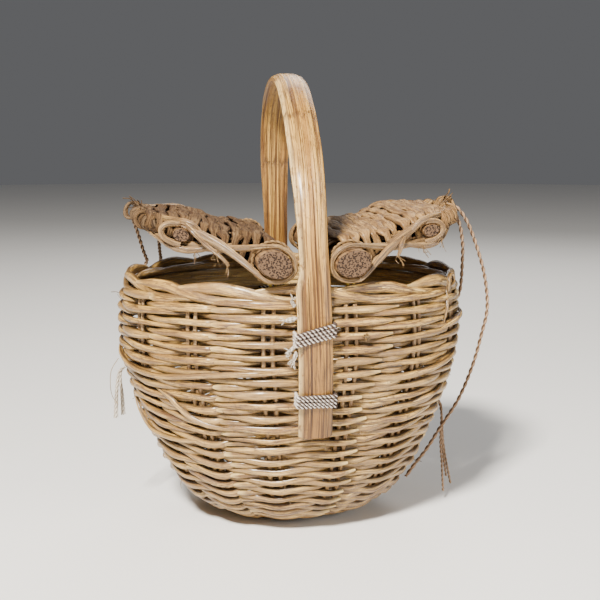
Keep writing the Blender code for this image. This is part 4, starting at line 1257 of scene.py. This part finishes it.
def makeRod(name, node, side, out, wide, tall, half, seed, s):
    # A cane rod with soft edges and rings of points in its ends, so that the pores can be pitted
    phases = np.random.default_rng(seed).random(3) * tau
    oval, triple, fine = s["bulges"]
    form = bmesh.new()
    values = {"grain": [], "cutEnd": []}

    def pointAt(x, along, z, cut):
        values["grain"].append((along + seed * 0.37, x, z))
        values["cutEnd"].append(float(cut))
        return form.verts.new(lidPlace(side, (out + x, along, z)))

    def ringAt(along, size, cut):
        ring = []
        for step in range(s["around"]):
            turn = tau * step / s["around"]
            bulge = 1 + oval * sin(2 * turn + phases[0]) + triple * sin(3 * turn + phases[1])
            if not cut:
                bulge += fine * sin(7 * turn + phases[2] + along * 60.0)
            ring.append(pointAt(wide * cos(turn) * bulge * size, along, tall * sin(turn) * bulge * size, cut))
        return ring

    def endAt(along):
        sizes = [s["faceSize"] * (1 - number / s["rings"]) for number in range(s["rings"])]
        return [ringAt(along, size, True) for size in sizes], pointAt(0.0, along, 0.0, True)

    straight = half - s["chamfer"]
    stations = [(place, 1.0) for place in np.linspace(-straight, straight, int(2 * half / s["along"]))]
    soft = half - s["chamfer"] * 0.3
    stations = [(-soft, s["chamferSize"]), *stations, (soft, s["chamferSize"])]
    startRings, startCentre = endAt(-half)
    sideRings = [ringAt(along, size, False) for along, size in stations]
    endRings, endCentre = endAt(half)
    rings = startRings[::-1] + sideRings + endRings
    bridge(form, rings)
    for centre, ring in ((startCentre, rings[0]), (endCentre, rings[-1])):
        for step in range(s["around"]):
            form.faces.new((centre, ring[step], ring[(step + 1) % s["around"]]))
    settle(shaped(name, form, values, "bar", s["sharp"]), f"{side}_lid", "bar", node)


ribSettings = {
    "section": section(width=4.2 * mm, thickness=0.95 * mm, sides=12, ridge=0.12 * mm, ridgeScale=2.2,
                       ridgeRun=50.0),
    "count": 11, "half": 25.0 * mm, "lift": 0.75 * mm, "web": 0.85 * mm, "endGap": 0.9 * mm,
    "leastReach": 13.0 * mm, "drift": 0.5 * mm, "spacing": 1.0 * mm, "seed": 61,
}


def ribPath(reach, s):
    # One rib in its own plane: round the bar, along the top, round the outer end and back below
    lid = lidSettings
    wide, tall = lid["barWide"] + s["lift"], lid["barTall"] + s["lift"]
    rod, rodTop = lid["rodOut"], lid["rodTall"] + s["lift"]
    end = reach - s["endGap"]
    top = [(wide * cos(turn), tall * sin(turn)) for turn in np.linspace(pi, pi * 0.38, 8)]
    if end > rod + 3.5 * mm:
        over = rod + 2.8 * mm
        top += [(rod * 0.36, 2.5 * mm), (rod * 0.55, s["web"]), (rod * 0.72, 1.25 * mm),
                (rod - 2.6 * mm, rodTop * 0.9), (rod, rodTop), (over, rodTop * 0.8),
                ((over + end) / 2, 1.1 * mm), (end - 1.2 * mm, 0.8 * mm)]
    else:
        top += [(max(end * 0.4, 7.0 * mm), 2.4 * mm), (end * 0.65, s["web"]), (end * 0.85, 0.8 * mm),
                (end - 1.0 * mm, 0.7 * mm)]
    below = [(x, -z) for x, z in reversed(top)]
    return np.array(top + [(end, 0.0)] + below[:-1])


def makeRibs(side, rng, s):
    strands = Strands()
    for along in np.linspace(-s["half"], s["half"], s["count"]):
        flat = ribPath(max(lidReachAt(abs(along) + 1.0 * mm), s["leastReach"]), s)
        drift = rng.normal() * s["drift"]
        path = np.stack([flat[:, 0], along + drift * flat[:, 0] / (30 * mm), flat[:, 1]], 1)
        path = laid(path, 8, s["spacing"])
        outward = np.cross(np.gradient(path, axis=0), (0.0, -1.0, 0.0))
        thick = 1.0 + rippled(rng, len(path), 5, 0.08)
        # A steady painted shade on the ribs, which lie under the weavers
        strands.add(lidPlace(side, path), lidTurned(side, outward), thick, rng.random(), 0.45)
    finishLid(f"{side}LidRibs", strands, s, side, f"{side}Lid", f"{side}_lid_weave")


weaverSettings = {
    "section": section(width=3.7 * mm, thickness=1.15 * mm, sides=14, ridge=0.20 * mm, ridgeScale=3.0,
                       ridgeRun=60.0),
    "rows": 12, "stations": 9, "first": 1.6 * mm, "pitch": 3.05 * mm, "lift": 0.95 * mm, "setback": 9.0 * mm,
    "dome": 2.3 * mm, "domeReach": 35 * mm, "domeBelow": 0.4, "below": 0.78, "wave": 0.16 * mm,
    "hook": 1.9 * mm, "hookThin": 0.44, "spacing": 0.7 * mm, "uneven": 0.15, "thick": (0.5, 1.2),
    "wild": {"left": 2.0, "right": 1.2},
}


def makeWeavers(side, rng, s):
    # Wide strips laid front to back over the ribs; each hooks round the lid's edge and comes back below
    stations = np.linspace(1.0, -1.0, s["stations"])
    wild = s["wild"][side]
    line = []  # outwards, along, up, and 1 where the strip hooks round the edge

    def heights(place, domeShare):
        # Of the upper and the lower side of the skin
        dome = s["dome"] * sin(pi * min(1.0, place / s["domeReach"])) * domeShare
        level = lidLevel(place) + s["lift"]
        return level + dome, dome * s["domeBelow"] - s["below"] * level

    for row in range(s["rows"]):
        out = s["first"] + s["pitch"] * row
        inset = s["setback"] * max(0.15, 1 - out / (42 * mm))
        half = lidEdge(out) - inset + rng.normal() * 0.8 * mm * wild
        for below in (False, True):
            for number, share in enumerate(stations * (-1 if below else 1)):
                run = number / (len(stations) - 1)
                place = out + (s["pitch"] * run if below else 0.0) + rng.normal() * 0.24 * mm * wild
                wave = s["wave"] * cos(pi * (number + row)) + rng.normal() * 0.13 * mm * wild
                height = heights(place, 1 - 0.55 * share * share)[below] + wave
                line.append((place, share * half, height, 0.0))
            end = 1.0 if below else -1.0
            place = out + (s["pitch"] if below else 0.0)
            high, low = heights(place, 0.45)
            for turn in (0.30, 0.5, 0.70):
                tilt = pi * (1 - turn if below else turn)
                along = end * (half + s["hook"] * sin(tilt))
                line.append((place, along, (high + low) / 2 + (high - low) / 2 * cos(tilt), 1.0))
    path = laid(line, 8, s["spacing"])
    path, hooked = path[:, :3], path[:, 3]
    outward = np.cross(np.gradient(path, axis=0), (1.0, 0.0, 0.0))
    thick = (1.0 - s["hookThin"] * hooked) * (1.0 + rippled(rng, len(path), 60, s["uneven"] * wild))
    # Painted shade on the lower side of the skin, lifted where the strip hooks round the edge
    lower = np.clip(0.5 - path[:, 2] / (4 * mm), 0.0, 1.0)
    strands = Strands()
    strands.add(lidPlace(side, path), lidTurned(side, outward), np.clip(thick, *s["thick"]), rng.random(),
                np.clip(lower * 0.7 - hooked * 0.3, 0.0, 1.0))
    finishLid(f"{side}LidWeavers", strands, s, side, f"{side}Lid", f"{side}_lid_weave")


edgeSettings = {
    "section": section(width=1.45 * mm, thickness=1.2325 * mm, sides=10, ridge=0.1 * mm, ridgeScale=1.8,
                       ridgeRun=90.0),
    "strands": (-0.7 * mm, 0.8 * mm), "points": 27, "spacing": 0.5 * mm, "inset": 0.9 * mm,
    "loops": 17, "loopsTo": 0.82, "radius": 1.75 * mm, "tipSwell": 0.35, "loopTurn": 0.93, "loopTilt": 0.28,
    "frays": 10, "frayLength": 3.0 * mm,
}


def lidOutline(share):
    # Along the lid's rounded outer edge, from the front (-1) over the tip (0) to the rear (1)
    s = lidSettings
    turn = min(abs(share), 1.0) * pi / 2
    out = s["rodOut"] + (s["reach"] - s["rodOut"] - edgeSettings["inset"]) * cos(turn)
    along = s["edgeAtTip"] * min(1.0, abs(share) * 4) + (s["edgeAtRod"] - s["edgeAtTip"]) * sin(turn)
    return np.array((out, along * (0.9 if share > 0 else -0.9), 0.0))


def edgeLoop(share, rng, s):
    # One knotted turn round the edge strands, and the way they run there
    middle = lidOutline(share)
    ahead = unit(lidOutline(share + 0.02) - lidOutline(share - 0.02))
    ahead = unit(ahead + rng.normal(size=3) * s["loopTilt"])
    across = unit(np.cross(ahead, (0.0, 0.0, 1.0)))
    upright = np.cross(across, ahead)
    size = s["radius"] * (1.0 + s["tipSwell"] * exp(-(share / 0.3) ** 2)) * rng.uniform(0.85, 1.2)
    start = rng.random() * tau
    ring = []
    for turn in np.linspace(start, start + tau * s["loopTurn"], 14):
        swing = across * 1.05 * cos(turn) + upright * sin(turn)
        ring.append(middle + swing * size + ahead * 0.5 * mm * (turn - start) / pi)
    return laid(ring, 4, s["spacing"]), ahead


def makeEdge(side, rng, s):
    # Two edge strands and knotted turns round them, thickest at the tip
    strands = Strands()
    for offset in s["strands"]:
        path = [lidOutline(share) + (0.0, 0.0, offset + 0.5 * mm * sin(share * 9 + offset * 3000))
                for share in np.linspace(-1.0, 1.0, s["points"])]
        path = laid(path, 4, s["spacing"])
        # A little painted shade on the edge strands
        strands.add(lidPlace(side, path), lidTurned(side, np.array((0.0, 0.0, 1.0))),
                    1.0 + rippled(rng, len(path), 8, 0.12), rng.random(), 0.2)
    for share in np.linspace(-s["loopsTo"], s["loopsTo"], s["loops"]):
        path, ahead = edgeLoop(share, rng, s)
        thick = tapered(len(path), 3, 3, 0.6) * rng.uniform(0.75, 1.05)
        # A random amount of painted shade on each knotted turn
        strands.add(lidPlace(side, path), lidTurned(side, ahead), thick, rng.random(),
                    0.1 + 0.3 * rng.random())
    way = lidTurned(side, np.array((0.4, -0.3, 0.9)))
    for _ in range(s["frays"]):
        root = lidOutline(rng.uniform(-0.7, 0.3)) + (0.0, 0.0, 1.5 * mm)
        frayed(strands, rng, lidPlace(side, root), way, 2, s["frayLength"], 0.6, 0.16)
    finishLid(f"{side}LidEdge", strands, s, side, f"{side}Lid", f"{side}_lid_weave")


tipSettings = {
    "loop": ((38.2, 1.6, 1.4), (40.2, 1.5, 2.9), (42.1, 0.7, 2.3), (42.8, -0.3, 0.3), (42.0, -1.3, -1.6),
             (40.4, -1.8, -1.7), (38.6, -1.6, -0.6)),
    "copies": (((0.0, 0.0, 0.0), 1.0), ((-0.6, 0.5, 0.35), 0.75)),  # shift, size
    # Painted shade on the tip loop, more on the left lid
    "diameter": {"left": 1.0 * mm, "right": 1.3 * mm}, "shadeAndPale": {"left": 0.6, "right": 0.2},
    "sides": 10, "ridge": 0.1 * mm, "ridgeScale": 1.6, "ridgeRun": 120.0, "spacing": 0.4 * mm, "frays": 3,
}


def makeTipLoop(side, rng, s):
    strands = Strands()
    for shift, size in s["copies"]:
        path = laid((np.array(s["loop"]) + shift) * mm, 6, s["spacing"])
        strands.add(lidPlace(side, path), lidTurned(side, np.array((0.0, 1.0, 0.0))),
                    size * (1.0 + rippled(rng, len(path), 5, 0.14)), rng.random(), s["shadeAndPale"][side])
    for _ in range(s["frays"]):
        root = lidPlace(side, np.array((39.5, rng.normal() * 1.2, 1.8)) * mm)
        frayed(strands, rng, root, lidTurned(side, np.array((1.0, 0.2, 0.5))), 2, 4.5 * mm, 0.3, 0.3)
    size = s["diameter"][side]
    values = {"section": section(size, size, s["sides"], s["ridge"], s["ridgeScale"], s["ridgeRun"])}
    finishLid(f"{side}TipLoop", strands, values, side, f"{side}Lid", f"{side}_tip_loop")


def makeLid(side, shift):
    lid = lidSettings
    rng = np.random.default_rng(ribSettings["seed"] + shift)
    makeRod(f"{side}HingeBar", f"{side}_hinge_bar", side, 0.0, lid["barWide"], lid["barTall"], lid["barHalf"],
            11 + shift, rodSettings)
    makeRod(f"{side}OuterRod", f"{side}_outer_rod", side, lid["rodOut"], lid["rodWide"], lid["rodTall"],
            lid["rodHalf"], 21 + shift, rodSettings)
    makeRibs(side, rng, ribSettings)
    makeWeavers(side, rng, weaverSettings)
    makeEdge(side, rng, edgeSettings)
    makeTipLoop(side, rng, tipSettings)


for shift, side in enumerate(("left", "right")):
    makeLid(side, shift)
print("lids woven")


# Edge bindings: strips that run in a figure of eight round the bar's end and the rod's end

bindingSettings = {
    "section": section(width=1.7 * mm, thickness=2.3 * mm, sides=24, ridge=0.12 * mm, ridgeScale=2.4,
                       ridgeRun=60.0, plies=6.0, plyDepth=0.42),
    "margin": 0.9 * mm, "pitch": 3.6 * mm, "angle": radians(108), "drift": 0.3, "grip": 0.95 * mm,
    "visits": 4, "rodSize": 0.72, "barSize": 0.56, "spacing": 0.6 * mm, "seed": 83,
    # The loop at the rod: how far it is shifted outwards, and how much longer it is
    "eyes": {"left": (0.9 * mm, 1.5 * mm), "right": (-1.3 * mm, 1.6 * mm)},
    "frays": {"left": ((12.2, 40.6, -3.8), (16.0, 38.8, -1.8), (21.0, 35.0, -3.4)),
              "right": ((13.6, 38.9, -3.2), (22.0, 34.8, -3.2), (28.5, 33.5, -3.2))},
    # Short loose strips at the front: share of the size, places
    "loose": {
        "left": (0.62, ((25.7, -34.0, 3.4), (23.1, -36.0, 1.9), (19.3, -37.6, -0.2), (15.8, -39.2, -1.7),
                        (13.0, -40.6, -3.0), (11.6, -41.0, -4.2))),
        "right": (0.6, ((17.5, -36.6, 1.2), (15.7, -38.0, -0.5), (14.6, -38.5, -1.9), (13.4, -39.0, -3.3))),
    },
    # Strips from the rod to the tip, over and under its end: outwards, along, up
    "tips": (
        ((14.0, -36.0, -1.4), (20.0, -34.2, 1.6), (24.0, -33.4, 3.5), (28.0, -31.0, 3.4), (32.0, -25.0, 2.5),
         (36.0, -15.0, 1.8), (38.8, -6.0, 1.2), (39.6, -1.0, 0.8)),
        ((12.0, -37.2, 1.6), (19.0, -34.6, -2.0), (24.0, -33.6, -3.7), (28.0, -31.5, -3.6),
         (32.0, -25.5, -2.6), (36.0, -15.5, -1.6), (38.6, -6.0, -0.7), (39.4, -1.5, -0.2)),
    ),
}


def bindingPath(side, end, s):
    # Rod, bar, rod, bar: outwards, along, up and a share of the strip's size
    lid = lidSettings
    shift, longer = s["eyes"][side]
    legs = (
        (lid["rodOut"] + shift, lid["rodWide"] + s["grip"] + longer, lid["rodTall"] + s["grip"],
         lid["rodHalf"] - s["margin"], 0.0, 1, s["rodSize"]),
        (0.0, lid["barWide"] + s["grip"], lid["barTall"] + s["grip"], lid["barHalf"] - s["margin"], pi, -1,
         s["barSize"]),
    )
    path = []
    last = s["visits"] - 1
    for visit in range(s["visits"]):
        centre, wide, tall, start, middle, sense, size = legs[visit % 2]
        for wrap in np.linspace(0.0, 1.0, 10):
            turn = middle + sense * s["angle"] * (2 * wrap - 1)
            along = start - s["pitch"] * (visit / last + (wrap - 0.5) * s["drift"])
            path.append((centre + wide * cos(turn), end * along, tall * sin(turn), size))
        if visit < last:
            after = legs[(visit + 1) % 2]
            along = (start + after[3]) / 2 - s["pitch"] * (visit + 0.5) / last
            path.append(((centre + after[0]) / 2, end * along, 0.0, 1.0))
    return np.array(path)


def sizedRoute(points, places, sizes):
    # A route in metres with a share of the strip's size at each point
    return np.column_stack([np.array(points) * mm, np.interp(np.arange(len(points)), places, sizes)])


def makeBinding(side, label, end, s):
    rng = np.random.default_rng(s["seed"] + len(side) + len(label))
    strands = Strands()
    routes = [bindingPath(side, end, s)]
    if end < 0:
        size, strip = s["loose"][side]
        routes.append(sizedRoute(strip, (0, 1, len(strip) - 1), (0.4, size, size * 0.6)))
    for strip in s["tips"]:
        routes.append(sizedRoute(strip, (0, 2, 6, 7), (0.35, 0.9, 0.8, 0.5)) * (1.0, -end, 1.0, 1.0))
    for route in routes:
        path = laid(route, 8, s["spacing"])
        facing = unit(np.cross(np.gradient(path[:, :3], axis=0), (0.0, 1.0, 0.0)))
        thick = path[:, 3] * (1.0 + rippled(rng, len(path), 8, 0.08))
        # A faint painted shade on the strips
        strands.add(lidPlace(side, path[:, :3]), lidTurned(side, facing), thick, rng.random(), 0.05)
    for out, along, up in s["frays"][side]:
        root = lidPlace(side, np.array((out, end * along, up)) * mm)
        frayed(strands, rng, root, (0.1, end * 0.5, -0.8), 5, 3.8 * mm, 0.3, 0.11)
    finishLid(f"{side}{label.title()}Binding", strands, s, side, "binding", f"{side}_{label}_binding")


for side in ("left", "right"):
    for label, end in (("front", -1.0), ("rear", 1.0)):
        makeBinding(side, label, end, bindingSettings)
print("bindings made")


# The middle of the base, long strands laid over the rows, and loose fibres

centreSettings = {
    "section": section(width=1.9 * mm, thickness=1.558 * mm, sides=10, ridge=0.1 * mm, ridgeScale=1.3,
                       ridgeRun=70.0),
    "first": 1.0 * mm, "last": 8.6 * mm, "pitch": 1.8 * mm, "rise": 0.55 * mm, "perTurn": 26,
    "spokes": (-6.5, -3.0, 0.0, 3.0, 6.5), "spokeSize": 0.72, "seed": 91,
}
overlaySettings = {
    "section": section(width=1.85 * mm, thickness=1.48 * mm, sides=12, ridge=0.12 * mm, ridgeScale=1.5,
                       ridgeRun=60.0),
    # Places on the wall: pairs of stakes from the front, height
    "routes": (
        ((-3.6, 56.0), (-3.38, 54.6), (-2.8, 51.2), (-2.15, 50.2), (-1.7, 51.0), (-1.12, 52.6), (-0.7, 53.3),
         (-0.25, 53.6)),
        ((-3.5, 41.5), (-3.3, 37.5), (-3.1, 33.5), (-2.8, 30.4), (-2.05, 30.0), (-1.5, 30.6)),
        ((-2.2, 45.5), (-1.93, 43.6), (-1.62, 38.4), (-1.25, 36.0), (-0.95, 35.2)),
        ((1.95, 62.0), (2.3, 63.4), (2.8, 64.5), (3.2, 65.2)),
        ((1.35, 50.0), (1.8, 51.0), (2.3, 52.5), (2.7, 53.5)),
        ((1.5, 40.5), (1.9, 42.0), (2.5, 43.2)),
    ),
    "stick": ((2.24, 75.2), (2.18, 71.0), (2.08, 66.0), (2.03, 62.5)), "stickSize": 0.62,
    "tapers": (9, 14, 0.28), "dipPoints": 9, "dip": 0.55, "spacing": 1.0 * mm,
    "knot": (0.65, 63.2), "knotLoops": 5, "knotRadius": 0.75 * mm, "knotSize": 0.24,
    # A small loop on the border's right corner: pairs from the front, height, how far in
    "loop": ((2.10, 73.2, -0.8), (2.09, 75.4, -1.0), (2.12, 77.2, -0.8), (2.20, 78.1, -0.6),
             (2.30, 77.7, -0.4), (2.34, 76.4, -0.4), (2.29, 75.2, -0.6), (2.20, 74.8, -0.6)),
    "loopSize": 0.72, "loopSpacing": 0.6 * mm, "seed": 97,
}
fibreSettings = {
    "section": section(width=0.22 * mm, thickness=0.22 * mm, sides=5, ridge=0.0, ridgeScale=1.4,
                       ridgeRun=120.0),
    "count": 34, "length": 3.2 * mm, "seed": 101,
    "hair": ((-54.2, -2.0, 50.6), (-56.4, -2.6, 47.2), (-56.9, -3.0, 43.0), (-56.4, -3.2, 39.0),
             (-54.6, -3.0, 36.2)),
}


def makeBaseCentre(s):
    # A spiral over seven spokes that cross in the middle
    rng = np.random.default_rng(s["seed"])
    turns = (s["last"] - s["first"]) / s["pitch"]
    count = int(turns * s["perTurn"])
    turn = np.linspace(0.0, tau * turns, count)
    length = s["first"] + s["pitch"] * turn / tau
    level = np.cos(turn * 3.5) * np.clip(length / (4 * mm), 0.2, 1.0)
    point, normal = onBody(turn, length, bodySettings["middle"] - s["rise"] * level)
    strands = Strands()
    # Painted shade on the spiral, more on the spokes
    strands.add(point, normal, 1.0 + rippled(rng, count, 9, 0.12), 0.4, 0.2)
    for pair in range(bodySettings["pairs"] // 2):
        across = (pair + 0.5) * pairStep
        way = np.array((sin(across), -cos(across), 0.0))
        middle = np.array((0.0, 0.0, bodySettings["middle"] + 0.25 * mm * (pair - 3) / 3))
        line = [middle + way * out * mm for out in s["spokes"]]
        strands.add(laid(line, 4, 0.8 * mm), (0.0, 0.0, 1.0), s["spokeSize"], rng.random(), 0.4)
    settle(grown("baseCentre", strands, s["section"], "weave"), "basket", "weave", "base_weave")


def makeOverlays(s):
    rng = np.random.default_rng(s["seed"])
    width = s["section"]["Width"]
    strands = Strands()
    for route, size in [(route, 1.0) for route in s["routes"]] + [(s["stick"], s["stickSize"])]:
        places = smoothed(np.array(route), 8)
        point, normal = onBody(places[:, 0] * pairStep, lengthAtHeight(places[:, 1] * mm), 0.0)
        path = evened(np.hstack([point, normal]), s["spacing"])
        count = len(path)
        thick = size * tapered(count, *s["tapers"]) * (1.0 + rippled(rng, count, 3, 0.08))
        fromEnd = np.minimum(np.arange(count), np.arange(count)[::-1])
        dip = width * s["dip"] * (1 - risen(fromEnd, 0, s["dipPoints"]))[:, None] * path[:, 3:]
        strands.add(path[:, :3] - dip, path[:, 3:], thick, rng.random(), 0.0)
    knot, _ = onBody(s["knot"][0] * pairStep, lengthAtHeight(s["knot"][1] * mm), -0.5 * mm)
    for _ in range(s["knotLoops"]):
        axes = np.linalg.qr(rng.normal(size=(3, 3)))[0]
        ring = [knot + s["knotRadius"] * (axes[0] * cos(turn) * 1.4 + axes[1] * sin(turn))
                for turn in np.linspace(0.0, tau * 0.9, 12)]
        # A deep painted shade on the knot's loops
        strands.add(ring, axes[2], s["knotSize"], rng.random(), 0.75)
    loop = np.array(s["loop"])
    point, normal = onBody(loop[:, 0] * pairStep, bodyLength, loop[:, 2] * mm)
    point[:, 2] = loop[:, 1] * mm
    path = laid(np.hstack([point, normal * (1, 1, 0)]), 8, s["loopSpacing"])
    # A little painted shade on the loop
    strands.add(path[:, :3], path[:, 3:], s["loopSize"] * tapered(len(path), 3, 5, 0.6), rng.random(), 0.1)
    settle(grown("overlaidStrands", strands, s["section"], "weave"), "basket", "weave")


def makeFibres(s):
    # Short loose fibres on the wall and the border, and one long hair on the left
    rng = np.random.default_rng(s["seed"])
    strands = Strands()
    for _ in range(s["count"]):
        turn, length = rng.random() * tau, rng.uniform(0.35, 1.0) * bodyLength
        point, normal = onBody(turn, length, -0.2 * mm)
        frayed(strands, rng, point, normal + (0.0, 0.0, -0.2), 1, s["length"], 0.7, 1.0)
    strands.add(laid(np.array(s["hair"]) * mm, 8, 0.5 * mm), (0.0, 1.0, 0.0), 1.0, 0.3, -0.3)
    settle(grown("looseFibres", strands, s["section"], "binding"), "basket", "weave")


makeBaseCentre(centreSettings)
makeOverlays(overlaySettings)
makeFibres(fibreSettings)
print("loose strands made")
